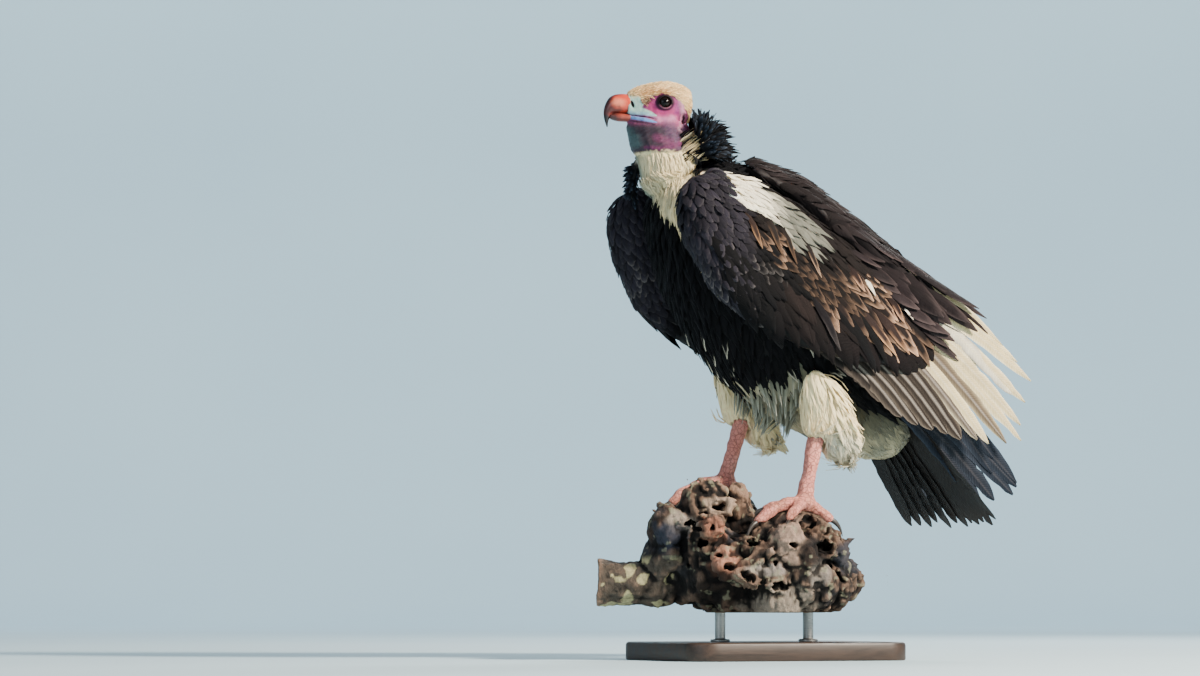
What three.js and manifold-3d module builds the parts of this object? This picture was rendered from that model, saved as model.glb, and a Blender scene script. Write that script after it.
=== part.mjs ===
// A life-size white-headed vulture standing on the knotted end of a dead branch, on a display stand.
// Units are millimetres. +Z is up, the bird faces -Y and its left side is +X.
// The origin is the centre of the stand's underside. Each named mesh is one closed solid.

import * as THREE from "three";
import { mergeVertices } from "three/addons/utils/BufferGeometryUtils.js";
import Module from "manifold-3d";

const wasm = await Module();
wasm.setup();

// ---------------------------------------------------------------- driving dimensions
const GAP = 0.35; // left between neighbouring solids, so that none overlap
const BASE = { length: 320, width: 240, height: 24, corner: 36 };
const ROD = { radius: 7, front: [-8, -62], rear: [12, 58] };
const PERCH_CUT_Z = 62; // the sawn underside of the knot, above the rods
const HEAD_CENTRE = [-6, -152, 734]; // midway between the eyes
const HEAD_TURN = THREE.MathUtils.degToRad(15); // turned to the bird's right
const EYE = { radius: 9.6, forward: -3.5, side: 23, up: -4 };
const RUFF = { rows: 3, spikesPerRow: 5, spikeLength: 24, spikeRadius: 5.5 };
const SHEET_THICKNESS = 4; // flight and tail feathers, where they overlap
const TAIL = {
  feathers: 12, root: [0, 140, 386], slope: THREE.MathUtils.degToRad(52), rootHalfSpread: 40, halfSpread: 94,
};
const TARSUS_RADIUS = 9.4;
const CLAW_LENGTH = 24;

// ---------------------------------------------------------------- vectors
const vec = (p) => new THREE.Vector3(...p);
const mix = (p, q, t) => p.map((value, i) => value + (q[i] - value) * t);
const mirror = ([x, y, z]) => [-x, y, z];

// ---------------------------------------------------------------- solids from ring sections
// A section is { c, a, b }: the centre of an ellipse and its two half axes, as Vector3.
// sweep() runs a smooth skin through the sections and closes both ends.
function sweep(sections, { sides = 12, rings = 1, grow = 0 } = {}) {
  const grown = sections.map(({ c, a, b }) => ({
    c: c.clone(),
    a: a.clone().setLength(a.length() + grow),
    b: b.clone().setLength(b.length() + grow),
  }));
  const last = grown.length - 1;
  const outwards = (from, to) => to.clone().sub(from).setLength(grow);
  if (grow) {
    grown[0].c.add(outwards(grown[1].c, grown[0].c));
    grown[last].c.add(outwards(grown[last - 1].c, grown[last].c));
  }
  const curves = ["c", "a", "b"].map(
    (key) => new THREE.CatmullRomCurve3(grown.map((s) => s[key]), false, "centripetal"),
  );
  const count = last * rings + 1;
  const points = [grown[0].c];
  for (let i = 0; i < count; i++) {
    const [c, a, b] = curves.map((curve) => curve.getPoint(i / (count - 1)));
    for (let k = 0; k < sides; k++) {
      const angle = (2 * Math.PI * k) / sides;
      points.push(c.clone().addScaledVector(a, Math.cos(angle)).addScaledVector(b, Math.sin(angle)));
    }
  }
  points.push(grown[last].c);
  return solidOf(new THREE.BufferGeometry().setFromPoints(points).setIndex(ringFaces(count, sides)));
}

// Triangles for rings of equal size between two end points.
function ringFaces(count, sides) {
  const faces = [];
  const at = (ring, k) => 1 + ring * sides + (k % sides);
  for (let k = 0; k < sides; k++) {
    faces.push(0, at(0, k + 1), at(0, k));
    faces.push(1 + count * sides, at(count - 1, k), at(count - 1, k + 1));
    for (let ring = 0; ring < count - 1; ring++) {
      faces.push(at(ring, k), at(ring, k + 1), at(ring + 1, k));
      faces.push(at(ring, k + 1), at(ring + 1, k + 1), at(ring + 1, k));
    }
  }
  return faces;
}

// A geometry as a solid, with its faces turned out.
function solidOf(geometry) {
  const bare = geometry.clone();
  bare.deleteAttribute("normal");
  bare.deleteAttribute("uv");
  const merged = mergeVertices(bare, 1e-4);
  const vertProperties = merged.attributes.position.array;
  const triVerts = new Uint32Array(merged.index.array);
  const build = () => new wasm.Manifold(new wasm.Mesh({ numProp: 3, vertProperties, triVerts }));
  const made = build();
  if (made.volume() > 0) return made;
  for (let i = 0; i < triVerts.length; i += 3) {
    [triVerts[i + 1], triVerts[i + 2]] = [triVerts[i + 2], triVerts[i + 1]];
  }
  return build();
}

const union = (solids) => solids.reduce((all, one) => all.add(one));

const ball = (detail, [x, y, z], [radiusX, radiusY, radiusZ]) =>
  new THREE.IcosahedronGeometry(1, detail).scale(radiusX, radiusY, radiusZ).translate(x, y, z);

// Sections across a middle plane. Each row is [top forward, top up, low forward, low up, half width].
const profileSections = (rows, place, side) =>
  rows.map(([topForward, topUp, lowForward, lowUp, halfWidth]) => {
    const top = place(topForward, topUp);
    const low = place(lowForward, lowUp);
    return {
      c: top.clone().add(low).multiplyScalar(0.5),
      a: top.clone().sub(low).multiplyScalar(0.5),
      b: side.clone().setLength(halfWidth),
    };
  });

// Sections of a flat piece. Each row is [upper edge point, lower edge point, half thickness].
function plateSections(rows) {
  const centres = rows.map(([upper, lower]) => vec(mix(upper, lower, 0.5)));
  const last = rows.length - 1;
  return rows.map(([upper, lower, halfThickness], i) => {
    const along = centres[Math.min(i + 1, last)].clone().sub(centres[Math.max(i - 1, 0)]);
    const a = vec(upper).sub(vec(lower)).multiplyScalar(0.5);
    return { c: centres[i], a, b: a.clone().cross(along).setLength(halfThickness) };
  });
}

// Sections of a round limb: points along it and a radius at each.
function limbSections(points, radii, across = [1, 0, 0]) {
  const line = points.map(vec);
  const last = line.length - 1;
  return line.map((c, i) => {
    const along = line[Math.min(i + 1, last)].clone().sub(line[Math.max(i - 1, 0)]).normalize();
    const b = vec(across).projectOnPlane(along).setLength(radii[i]);
    return { c, a: along.clone().cross(b).setLength(radii[i]), b };
  });
}

// A flat sheet of overlapping feathers with a toothed edge. Each feather is [root, tip] in the sheet's own
// plane. place() takes a point of the plane and a height above it to its place on the bird.
function featherSheet(feathers, place) {
  const tips = feathers.flatMap(([root, tip], i) => {
    const next = feathers[i + 1];
    if (!next) return [tip];
    const notch = mix(mix(tip, next[1], 0.5), mix(root, next[0], 0.5), 0.12);
    return [tip, mix(notch, tip, 0.25), notch, mix(notch, next[1], 0.25)];
  });
  const roots = feathers.map(([root]) => root).reverse();
  const outline = new THREE.Shape([...tips, ...roots].map(([p, q]) => new THREE.Vector2(p, q)));
  const geometry = new THREE.ExtrudeGeometry(outline, { depth: SHEET_THICKNESS, bevelEnabled: false });
  const position = geometry.attributes.position;
  for (let i = 0; i < position.count; i++) {
    const height = position.getZ(i) - SHEET_THICKNESS / 2;
    position.setXYZ(i, ...place(position.getX(i), position.getY(i), height));
  }
  return solidOf(geometry);
}

// ---------------------------------------------------------------- head
// The head's own frame: forward along the bill, side to the bird's left, and up.
const FORWARD = vec([-Math.sin(HEAD_TURN), -Math.cos(HEAD_TURN), 0]);
const SIDE = vec([Math.cos(HEAD_TURN), -Math.sin(HEAD_TURN), 0]);
const headPlace = (forward, up) => vec(HEAD_CENTRE).addScaledVector(FORWARD, forward).add(vec([0, 0, up]));
const headSweep = (rows, options) => sweep(profileSections(rows, headPlace, SIDE), options);

const head = (grow) =>
  headSweep(
    [
      [-43, 4, -42, -12, 9], [-39, 17, -38, -26, 21], [-25, 24, -26, -34, 29.5],
      [-8, 26.5, -10, -37, 30], [8, 24.5, 8, -37, 26.5], [22, 21, 24, -34.5, 20.5],
      [33, 17, 36, -30.5, 15.5], [42.6, 10.5, 42.6, -25.5, 12.4],
    ],
    { sides: 16, rings: 2, grow },
  );

const billUpper = (grow) =>
  headSweep(
    [
      [43, 8.5, 43, -16.5, 12.2], [51, 9.2, 50, -17, 11.4], [60, 7.8, 57, -17, 10],
      [67, 3, 61, -17.2, 8.2], [71.8, -6, 63.4, -19, 6.4], [73.6, -15, 65.4, -22.5, 4.4],
      [72.6, -25, 67.4, -28, 2.4], [69, -36, 68, -35.4, 0.7],
    ],
    { sides: 12, grow },
  );

const billLower = (grow) =>
  headSweep(
    [
      [43, -17.2, 43, -27.5, 10.5], [52, -17.4, 52, -27, 9],
      [59, -17.8, 58, -25.5, 6.5], [63.5, -19.5, 62.5, -23.5, 3],
    ],
    { sides: 10, grow },
  );

// side is 1 for the left eye and -1 for the right.
function eye(side, grow) {
  const centre = headPlace(EYE.forward, EYE.up).addScaledVector(SIDE, side * EYE.side);
  const radius = EYE.radius + grow;
  return solidOf(ball(2, centre.toArray(), [radius, radius, radius]));
}

// ---------------------------------------------------------------- neck and body
// Each row is [x, y, z, half depth, half width, drop of the front edge].
const ringSections = (rows) =>
  rows.map(([x, y, z, halfDepth, halfWidth, drop]) => ({
    c: vec([x, y, z]),
    a: vec([x * 2, -halfDepth, -drop]),
    b: vec([halfWidth, 0, 0]),
  }));

const neck = (grow) =>
  sweep(
    ringSections([
      [-4, -150, 722, 34, 24, -4], [-4, -154, 704, 41, 30, 4], [-2, -148, 682, 44, 34, 6],
      [0, -136, 658, 48, 41, 8], [0, -122, 630, 53, 52, 12], [0, -108, 600, 56, 62, 18],
    ]),
    { sides: 16, grow },
  );

const trunk = (grow) =>
  sweep(
    profileSections(
      [
        [-88, 660, -120, 648, 22], [-62, 660, -160, 622, 56], [-20, 650, -170, 580, 84],
        [20, 628, -158, 530, 100], [62, 598, -138, 476, 107], [106, 562, -100, 412, 106],
        [148, 524, -52, 362, 100], [184, 484, 14, 318, 90], [212, 440, 90, 284, 72],
        [228, 396, 150, 266, 50], [234, 352, 190, 268, 30], [232, 322, 206, 284, 12],
      ],
      (y, z) => vec([0, y, z]),
      vec([1, 0, 0]),
    ),
    { sides: 16, grow },
  );

// The ruff is a thick crescent round the back and sides of the neck, set with pointed feathers.
const RUFF_RINGS = [
  [0, -104, 724, 8, 18, 0], [0, -109, 714, 26, 38, 0], [0, -111, 694, 34, 49, 0],
  [0, -107, 671, 38, 58, 0], [0, -97, 645, 44, 68, 0], [0, -90, 622, 44, 74, 0],
];
// It reaches further forward on the right, where the head is turned.
const RUFF_LOBE = {
  line: [[-38, -112, 704], [-48, -146, 678], [-53, -165, 648], [-56, -168, 618], [-60, -160, 596]],
  radii: [10, 15, 17, 15, 9],
};

function spike(root, tip, radius) {
  const along = vec(tip).sub(vec(root));
  const cone = new THREE.ConeGeometry(radius, along.length(), 4).translate(0, along.length() / 2, 0);
  cone.applyQuaternion(new THREE.Quaternion().setFromUnitVectors(vec([0, 1, 0]), along.normalize()));
  return solidOf(cone.translate(...root));
}

function ruff() {
  const spikes = [];
  for (let row = 0; row < RUFF.rows; row++) {
    const [, y, z, halfDepth, halfWidth] = RUFF_RINGS[row + 1];
    for (let k = 0; k < RUFF.spikesPerRow; k++) {
      const across = (k + 0.5 * (row % 2)) / (RUFF.spikesPerRow - 0.5) - 0.5;
      const angle = Math.PI * 1.1 * across;
      const out = [Math.sin(angle), Math.cos(angle)];
      const root = [out[0] * (halfWidth - 3), y + out[1] * (halfDepth - 3), z - 6];
      const lift = RUFF.spikeLength * 0.4;
      const tip = [root[0] + out[0] * lift, root[1] + out[1] * lift, z - 6 + RUFF.spikeLength * 0.75];
      spikes.push(spike(root, tip, RUFF.spikeRadius));
    }
  }
  const collar = sweep(ringSections(RUFF_RINGS), { sides: 12 });
  const lobe = sweep(limbSections(RUFF_LOBE.line, RUFF_LOBE.radii), { sides: 8 });
  return union([collar, lobe, ...spikes]);
}

// ---------------------------------------------------------------- wings, folded
// Points are for the left wing; the right wing is its mirror image.
const onSide = (side, rows) =>
  side > 0 ? rows : rows.map(([upper, lower, ...rest]) => [mirror(upper), mirror(lower), ...rest]);

const wingCoverts = (side, grow) =>
  sweep(
    plateSections(
      onSide(side, [
        [[104, -177, 604], [109, -180, 566], 12], [[96, -161, 627], [120, -165, 528], 30],
        [[88, -122, 641], [128, -132, 468], 38], [[86, -66, 632], [130, -76, 426], 36],
        [[88, 0, 602], [128, -4, 396], 30], [[87, 58, 564], [118, 66, 384], 25],
        [[83, 116, 526], [108, 128, 378], 19], [[77, 168, 490], [98, 178, 378], 13],
        [[72, 214, 458], [88, 220, 390], 7], [[70, 240, 436], [80, 244, 406], 3],
      ]),
    ),
    { sides: 14, grow },
  );

const scapulars = (side, grow) =>
  sweep(
    plateSections(
      onSide(side, [
        [[36, -84, 654], [60, -88, 642], 6], [[24, -36, 662], [82, -46, 630], 13],
        [[26, 30, 642], [92, 16, 596], 16], [[32, 94, 600], [98, 78, 552], 16],
        [[38, 156, 556], [95, 142, 512], 13], [[44, 208, 518], [84, 202, 480], 8],
        [[50, 262, 488], [72, 262, 470], 4], [[55, 324, 469], [59, 326, 463], 1.5],
      ]),
    ),
    { sides: 8, grow },
  );

// Each feather is [root, tip] in the wing's plane, as [y, z]. The inner secondaries fan out round the elbow.
const SECONDARIES = [
  [[160, 496], [324, 426]], [[176, 480], [364, 376]], [[178, 462], [346, 352]], [[172, 446], [354, 312]],
  [[164, 430], [334, 293]], [[152, 416], [304, 287]], [[136, 402], [272, 289]], [[118, 394], [240, 297]],
  [[98, 386], [208, 306]],
];
const PRIMARIES = [
  [[150, 424], [312, 268]], [[156, 400], [336, 246]], [[162, 372], [354, 230]], [[168, 345], [338, 216]],
  [[176, 322], [300, 206]],
];
const secondaries = (side) =>
  featherSheet(SECONDARIES, (y, z, height) => [side * (162 - 0.09 * y - 0.13 * z + height), y, z]);
const primaries = (side) =>
  featherSheet(PRIMARIES, (y, z, height) => [side * (78 - 0.11 * y + 0.06 * z + height), y, z]);

// ---------------------------------------------------------------- tail
function tail() {
  const feathers = [];
  for (let i = 0; i < TAIL.feathers; i++) {
    const across = (2 * i) / (TAIL.feathers - 1) - 1; // -1 at the right edge and 1 at the left
    const reach = 264 - across ** 2 * 12 - (i % 2 ? 6 : 0);
    feathers.push([[across * TAIL.rootHalfSpread, 0], [across * TAIL.halfSpread, reach]]);
  }
  const [, rootY, rootZ] = TAIL.root;
  return featherSheet(feathers, (x, reach, height) => {
    const arched = height - Math.abs(x) * 0.08;
    return [
      x,
      rootY + Math.cos(TAIL.slope) * reach + Math.sin(TAIL.slope) * arched + x * 0.14,
      rootZ - Math.sin(TAIL.slope) * reach + Math.cos(TAIL.slope) * arched,
    ];
  });
}

// ---------------------------------------------------------------- legs
// The left leg stands back and low on the knot, the right leg forward and high.
const LEGS = {
  left: { side: 1, ankle: [62, 42, 284], foot: [61, 27, 209], hip: 404 },
  right: { side: -1, ankle: [-60, -8, 304], foot: [-60, -29, 236], hip: 412 },
};

// The feathered thigh: a teardrop that hangs behind the ankle.
// Each row is [out, back, share of the height between ankle and hip, half length, half width].
const THIGH = [
  [4, -14, 1.1, 28, 24], [10, -2, 0.72, 36, 30], [9, 10, 0.4, 40, 31],
  [4, 19, 0.08, 43, 26], [1, 24, -0.09, 36, 18], [0, 36, -0.2, 14, 8],
];
const thigh = ({ side, hip, ankle }, grow) =>
  sweep(
    THIGH.map(([out, back, share, halfLength, halfWidth]) => ({
      c: vec([ankle[0] + side * out, ankle[1] + back, ankle[2] + (hip - ankle[2]) * share]),
      a: vec([0, -halfLength, halfLength * 0.18]),
      b: vec([halfWidth, 0, 0]),
    })),
    { grow },
  );

const tarsus = ({ ankle, foot }, grow) =>
  sweep(
    limbSections(
      [[ankle[0], ankle[1] + 5, ankle[2] + 14], ankle, mix(ankle, foot, 0.5), foot],
      [TARSUS_RADIUS + 2, TARSUS_RADIUS + 1.5, TARSUS_RADIUS, TARSUS_RADIUS + 2.2],
    ),
    { sides: 8, grow },
  );

// ---------------------------------------------------------------- perch
// The knot is a heap of lumps: [x, y, z, radius x, radius y, radius z]. The feet stand on the first two.
const FOOT_LUMPS = [[52, 10, 122, 72, 84, 78], [-56, -46, 150, 70, 80, 80]];
const GNARLED_LUMPS = [
  [-4, -24, 110, 84, 104, 74], [-32, -112, 132, 50, 50, 46], [8, 76, 108, 66, 56, 52],
  [-46, 52, 106, 56, 60, 52], [72, -64, 126, 40, 44, 42], [86, 34, 100, 36, 52, 42],
  [24, -96, 156, 34, 34, 36], [-6, -102, 192, 26, 30, 40], [0, -76, 206, 20, 26, 42],
  [-8, -44, 202, 20, 24, 34], [-20, -128, 172, 34, 32, 38],
];
const CRATERS = [[90, -86, 148, 12], [64, -104, 120, 12], [40, -122, 160, 10], [108, 46, 122, 11]];
const BRANCH = { from: [-20, -90, 100], to: [-80, -206, 102], radii: [36, 32, 30, 31] };

// A steady ripple swells and pinches a lump by direction, with its own phase for each lump.
const gnarl = ({ x, y, z }, phase) =>
  1 +
  0.06 * Math.sin(5 * x + 3 * z + phase) * Math.cos(4 * y - 2 * x + 2 * phase) +
  0.04 * Math.sin(9 * z + 6 * y + 3 * phase);

function gnarledLump([x, y, z, ...radii], phase, grow) {
  const geometry = ball(Math.max(...radii) > 80 ? 2 : 1, [0, 0, 0], [1, 1, 1]);
  const place = geometry.attributes.position;
  for (let i = 0; i < place.count; i++) {
    const point = new THREE.Vector3().fromBufferAttribute(place, i);
    const swell = gnarl(point, phase);
    const [outX, outY, outZ] = radii.map((radius) => radius * swell + grow);
    place.setXYZ(i, x + point.x * outX, y + point.y * outY, z + point.z * outZ);
  }
  return solidOf(geometry);
}

// Height of the smooth lumps' top at (x, y), where the toes lie.
function perchTop(x, y) {
  const heights = FOOT_LUMPS.map(([lumpX, lumpY, lumpZ, radiusX, radiusY, radiusZ]) => {
    const inside = 1 - ((x - lumpX) / radiusX) ** 2 - ((y - lumpY) / radiusY) ** 2;
    return inside > 0 ? lumpZ + radiusZ * Math.sqrt(inside) : 0;
  });
  return Math.max(...heights);
}

function perch(grow) {
  const places = [0, 0.35, 0.7, 1].map((t) => mix(BRANCH.from, BRANCH.to, t));
  const smooth = FOOT_LUMPS.map(([x, y, z, ...radii]) =>
    solidOf(ball(2, [x, y, z], radii.map((radius) => radius + grow))),
  );
  const gnarled = GNARLED_LUMPS.map((row, i) => gnarledLump(row, i + 1, grow));
  const craters = CRATERS.map(([x, y, z, radius]) => {
    const hollow = radius - grow;
    return solidOf(ball(1, [x, y, z], [hollow, hollow, hollow]));
  });
  const size = 600;
  const below = solidOf(
    new THREE.BoxGeometry(size, size, size).translate(0, 0, PERCH_CUT_Z - grow - size / 2),
  );
  const branch = sweep(limbSections(places, BRANCH.radii, [0, 0, 1]), { grow });
  return union([branch, ...smooth, ...gnarled]).subtract(union([below, ...craters]));
}

// ---------------------------------------------------------------- feet
// Toes of one foot: [direction from straight ahead in degrees, outwards positive; length; root radius].
const TOES = [[8, 74, 7.2], [-30, 52, 6.8], [42, 56, 6.6], [172, 36, 7]];
const TOE_STEPS = 5;

// The toe's centre line: over the knot, a little less than a radius above its surface.
function toeLine({ side, foot }, [turn, length, radius]) {
  const angle = THREE.MathUtils.degToRad(turn);
  const direction = [Math.sin(angle) * side, -Math.cos(angle)];
  const points = [];
  const radii = [];
  for (let i = 0; i <= TOE_STEPS; i++) {
    const t = i / TOE_STEPS;
    const x = foot[0] + direction[0] * length * t;
    const y = foot[1] + direction[1] * length * t;
    const knuckle = 1 + 0.1 * Math.cos(t * 5 * Math.PI);
    const thick = radius * (1 - 0.32 * t) * knuckle;
    points.push([x, y, perchTop(x, y) + thick * 0.8 + (1 - t) ** 3 * 4]);
    radii.push(thick);
  }
  return { points, radii, direction };
}

function footOf(leg, grow) {
  const toes = TOES.map((toe) => {
    const { points, radii } = toeLine(leg, toe);
    return sweep(limbSections(points, radii, [0, 0, 1]), { sides: 6, grow });
  });
  const [x, y] = leg.foot;
  const pad = ball(1, [x, y, perchTop(x, y) + 8], [13 + grow, 14 + grow, 10 + grow]);
  return union([solidOf(pad), ...toes]);
}

function claw(leg, toe, grow) {
  const { points, radii, direction } = toeLine(leg, toe);
  const [x, y, z] = points[TOE_STEPS];
  const before = points[TOE_STEPS - 1];
  const radius = radii[TOE_STEPS];
  const slope = (z - before[2]) / Math.hypot(x - before[0], y - before[1]);
  const line = [];
  for (let i = 0; i <= 4; i++) {
    const t = i / 4;
    const out = CLAW_LENGTH * (t - 0.35 * t * t) + radius * 0.4;
    const fall = slope * out * 0.7 + 5 * t - 17 * t * t;
    line.push([x + direction[0] * out, y + direction[1] * out, z + 1 + fall]);
  }
  const sizes = [0.86, 0.78, 0.58, 0.36, 0.12].map((share) => radius * share);
  return sweep(limbSections(line, sizes, [0, 0, 1]), { sides: 6, grow });
}

// ---------------------------------------------------------------- stand
function standBase() {
  const { length, width, height, corner } = BASE;
  const x = width / 2 - corner;
  const y = length / 2 - corner;
  const outline = new THREE.Shape();
  outline.absarc(x, -y, corner, -Math.PI / 2, 0);
  outline.absarc(x, y, corner, 0, Math.PI / 2);
  outline.absarc(-x, y, corner, Math.PI / 2, Math.PI);
  outline.absarc(-x, -y, corner, Math.PI, 1.5 * Math.PI);
  return solidOf(
    new THREE.ExtrudeGeometry(outline, { depth: height, bevelEnabled: false, curveSegments: 4 }),
  );
}

function standRod([x, y]) {
  const low = BASE.height + GAP;
  const high = PERCH_CUT_Z - GAP;
  return solidOf(
    new THREE.CylinderGeometry(ROD.radius, ROD.radius, high - low, 16)
      .rotateX(Math.PI / 2)
      .translate(x, y, (low + high) / 2),
  );
}

// ---------------------------------------------------------------- the nodes
// Each row is [colour, roughness, metalness].
const FINISHES = {
  feathers_black: [0x1c1a1c, 0.8, 0],
  feathers_brown: [0x3a322f, 0.8, 0],
  feathers_white: [0xe9e2cf, 0.9, 0],
  head_skin: [0xd9a3a8, 0.7, 0],
  bill: [0xe0604a, 0.35, 0],
  eye: [0x1a0f0c, 0.08, 0],
  leg_skin: [0xe8b0a4, 0.6, 0],
  claw: [0x1d1b1c, 0.4, 0],
  perch_wood: [0x6b5d50, 0.9, 0],
  stand_board: [0x3b3631, 0.5, 0],
  stand_metal: [0x9a9a98, 0.35, 1],
};
const materials = Object.fromEntries(
  Object.entries(FINISHES).map(([name, [color, roughness, metalness]]) => [
    name,
    new THREE.MeshStandardMaterial({ name, color, roughness, metalness }),
  ]),
);

// Each row is [node, material, function of the gap that makes the solid].
const pair = (name, material, make) =>
  Object.entries(LEGS).map(([word, leg]) => [`${name}_${word}`, material, (grow) => make(leg, grow)]);
const rows = [
  ["stand_base", "stand_board", standBase],
  ["stand_rod_front", "stand_metal", () => standRod(ROD.front)],
  ["stand_rod_rear", "stand_metal", () => standRod(ROD.rear)],
  ["perch", "perch_wood", perch],
  ...pair("eye", "eye", ({ side }, grow) => eye(side, grow)),
  ["bill_upper", "bill", billUpper],
  ["bill_lower", "bill", billLower],
  ["head", "head_skin", head],
  ...TOES.flatMap((toe, i) => pair(`claw_${i + 1}`, "claw", (leg, grow) => claw(leg, toe, grow))),
  ...pair("foot", "leg_skin", footOf),
  ...pair("tarsus", "leg_skin", tarsus),
  ["trunk", "feathers_black", trunk],
  ["neck", "feathers_white", neck],
  ...pair("thigh", "feathers_white", thigh),
  ...pair("scapulars", "feathers_brown", ({ side }, grow) => scapulars(side, grow)),
  ...pair("wing_coverts", "feathers_brown", ({ side }, grow) => wingCoverts(side, grow)),
  ...pair("secondaries", "feathers_white", ({ side }) => secondaries(side)),
  ...pair("primaries", "feathers_black", ({ side }) => primaries(side)),
  ["tail", "feathers_black", tail],
  ["ruff", "feathers_black", ruff],
];

// The largest connected piece of a cut solid.
const largest = (solid) =>
  solid.decompose().reduce((best, piece) => (piece.volume() > best.volume() ? piece : best));

function meshOf(name, solid, material) {
  const { vertProperties, triVerts } = solid.getMesh();
  const geometry = new THREE.BufferGeometry();
  geometry.setAttribute("position", new THREE.BufferAttribute(new Float32Array(vertProperties), 3));
  geometry.setIndex(new THREE.BufferAttribute(new Uint32Array(triVerts), 1));
  geometry.computeVertexNormals();
  const mesh = new THREE.Mesh(geometry, material);
  mesh.name = name;
  return mesh;
}

// Every solid is cut back by those above it in the list, each grown by the gap.
const vulture = new THREE.Group();
const above = [];
for (const [name, material, make] of rows) {
  const cut = above.reduce((rest, other) => rest.subtract(other), make(0));
  vulture.add(meshOf(name, largest(cut), materials[material]));
  above.push(make(GAP));
}

export default vulture;
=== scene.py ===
"""Looks of a life-size white-headed vulture on the knotted end of a dead branch, on a display stand.

Shapes are worked out in millimetres in the CAD frame (+Z up, the bird faces -Y, its left side is +X)
and turned into metres when a mesh is made. Every random draw comes from a seeded generator.
"""

from math import cos, pi, radians, sin

import bpy
import numpy as np
import openvdb
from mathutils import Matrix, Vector
from mathutils.bvhtree import BVHTree


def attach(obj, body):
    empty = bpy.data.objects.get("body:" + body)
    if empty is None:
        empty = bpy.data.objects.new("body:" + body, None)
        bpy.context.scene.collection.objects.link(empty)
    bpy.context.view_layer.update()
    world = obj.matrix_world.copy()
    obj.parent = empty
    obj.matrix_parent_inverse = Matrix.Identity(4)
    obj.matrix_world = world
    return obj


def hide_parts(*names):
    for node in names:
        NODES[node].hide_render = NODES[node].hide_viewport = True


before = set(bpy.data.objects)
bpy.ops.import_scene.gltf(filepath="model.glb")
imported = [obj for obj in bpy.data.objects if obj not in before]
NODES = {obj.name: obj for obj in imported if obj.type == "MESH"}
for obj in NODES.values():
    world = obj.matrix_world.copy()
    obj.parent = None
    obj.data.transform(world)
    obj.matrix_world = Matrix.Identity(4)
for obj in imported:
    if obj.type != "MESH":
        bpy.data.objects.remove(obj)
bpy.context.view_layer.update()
MM = 0.001
PAIR = ("left", "right")
WAYS = {"left": 1, "right": -1}  # each side's direction along X

# ---------------------------------------------------------------- camera
CAMERA_AZIMUTH = radians(65.3)  # round the bird's left side from straight ahead
CAMERA_RISE = radians(4)  # it looks up by this much
CAMERA_PLACE = (4.4674, -2.2945, 0.0752)
CAMERA_LENS = 113.64
TOWARDS = np.array([sin(CAMERA_AZIMUTH), -cos(CAMERA_AZIMUTH), 0])  # from the bird towards the camera
ACROSS = np.array([cos(CAMERA_AZIMUTH), sin(CAMERA_AZIMUTH), 0])  # to the camera's right


def add_aimed(name, data, place, way):
    """A camera or a lamp at a place in metres that looks along a way."""
    aimed = bpy.data.objects.new(name, data)
    aimed.location = place
    aimed.rotation_euler = Vector(way).to_track_quat("-Z", "Y").to_euler()
    bpy.context.scene.collection.objects.link(aimed)
    return aimed


def add_camera():
    """The camera looks up at the bird from its front left, from just above the floor."""
    data = bpy.data.cameras.new("camera")
    data.lens = CAMERA_LENS
    data.sensor_width = 36
    level = cos(CAMERA_RISE)
    way = (-sin(CAMERA_AZIMUTH) * level, cos(CAMERA_AZIMUTH) * level, sin(CAMERA_RISE))
    bpy.context.scene.camera = add_aimed("camera", data, CAMERA_PLACE, way)


# ---------------------------------------------------------------- small maths
def unit(v):
    """Vectors of length one, along the last axis."""
    return v / np.maximum(np.linalg.norm(v, axis=-1, keepdims=True), 1e-9)


def smooth_step(low, high, x):
    """From 0 at low to 1 at high, with a gentle start and end."""
    t = np.clip((x - low) / (high - low), 0, 1)
    return t * t * (3 - 2 * t)


def catmull_rom(rows, count):
    """count rows along a smooth curve through the given rows."""
    rows = np.asarray(rows, float)
    padded = np.vstack([2 * rows[0] - rows[1], rows, 2 * rows[-1] - rows[-2]])
    along = np.linspace(0, len(rows) - 1, count)
    i = np.minimum(along.astype(int), len(rows) - 2)
    t = (along - i)[:, None]
    p0, p1, p2, p3 = (padded[i + k] for k in range(4))
    return 0.5 * (2 * p1 + (p2 - p0) * t + (2 * p0 - 5 * p1 + 4 * p2 - p3) * t**2
                  + (3 * p1 - p0 - 3 * p2 + p3) * t**3)


def hashed(cells, salt):
    """A steady pseudo-random value from 0 to 1 for each row of whole numbers."""
    x, y, z = (cells[..., k].astype(np.int64) for k in range(3))
    n = (x * 73856093) ^ (y * 19349663) ^ (z * 83492791) ^ (salt * 2654435761)
    n = (n ^ (n >> 13)) * 1274126177
    return ((n ^ (n >> 16)) & 0xFFFFFF) / float(0xFFFFFF)


def value_noise(points, size, salt):
    """Smooth noise from -1 to 1 with lumps of about the given size."""
    scaled = np.asarray(points) / size
    cell = np.floor(scaled)
    f = scaled - cell
    f = f * f * (3 - 2 * f)
    total = 0
    for corner in np.ndindex(2, 2, 2):
        weight = np.prod([f[..., k] if corner[k] else 1 - f[..., k] for k in range(3)], axis=0)
        total = total + weight * hashed(cell + np.array(corner), salt)
    return total * 2 - 1


def rough_noise(points, size, octaves, salt):
    """Noise with finer lumps added, each half the size and half the height of the last."""
    return sum(value_noise(points, size / 2**k, salt + 17 * k) / 2**k for k in range(octaves))


def soft_union(first, second, reach, depth=None):
    """The lesser of two distances, with a fillet where they come within reach of each other."""
    close = np.maximum(reach - np.abs(first - second), 0) / reach
    return np.minimum(first, second) - close * close * (reach / 4 if depth is None else depth)


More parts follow.
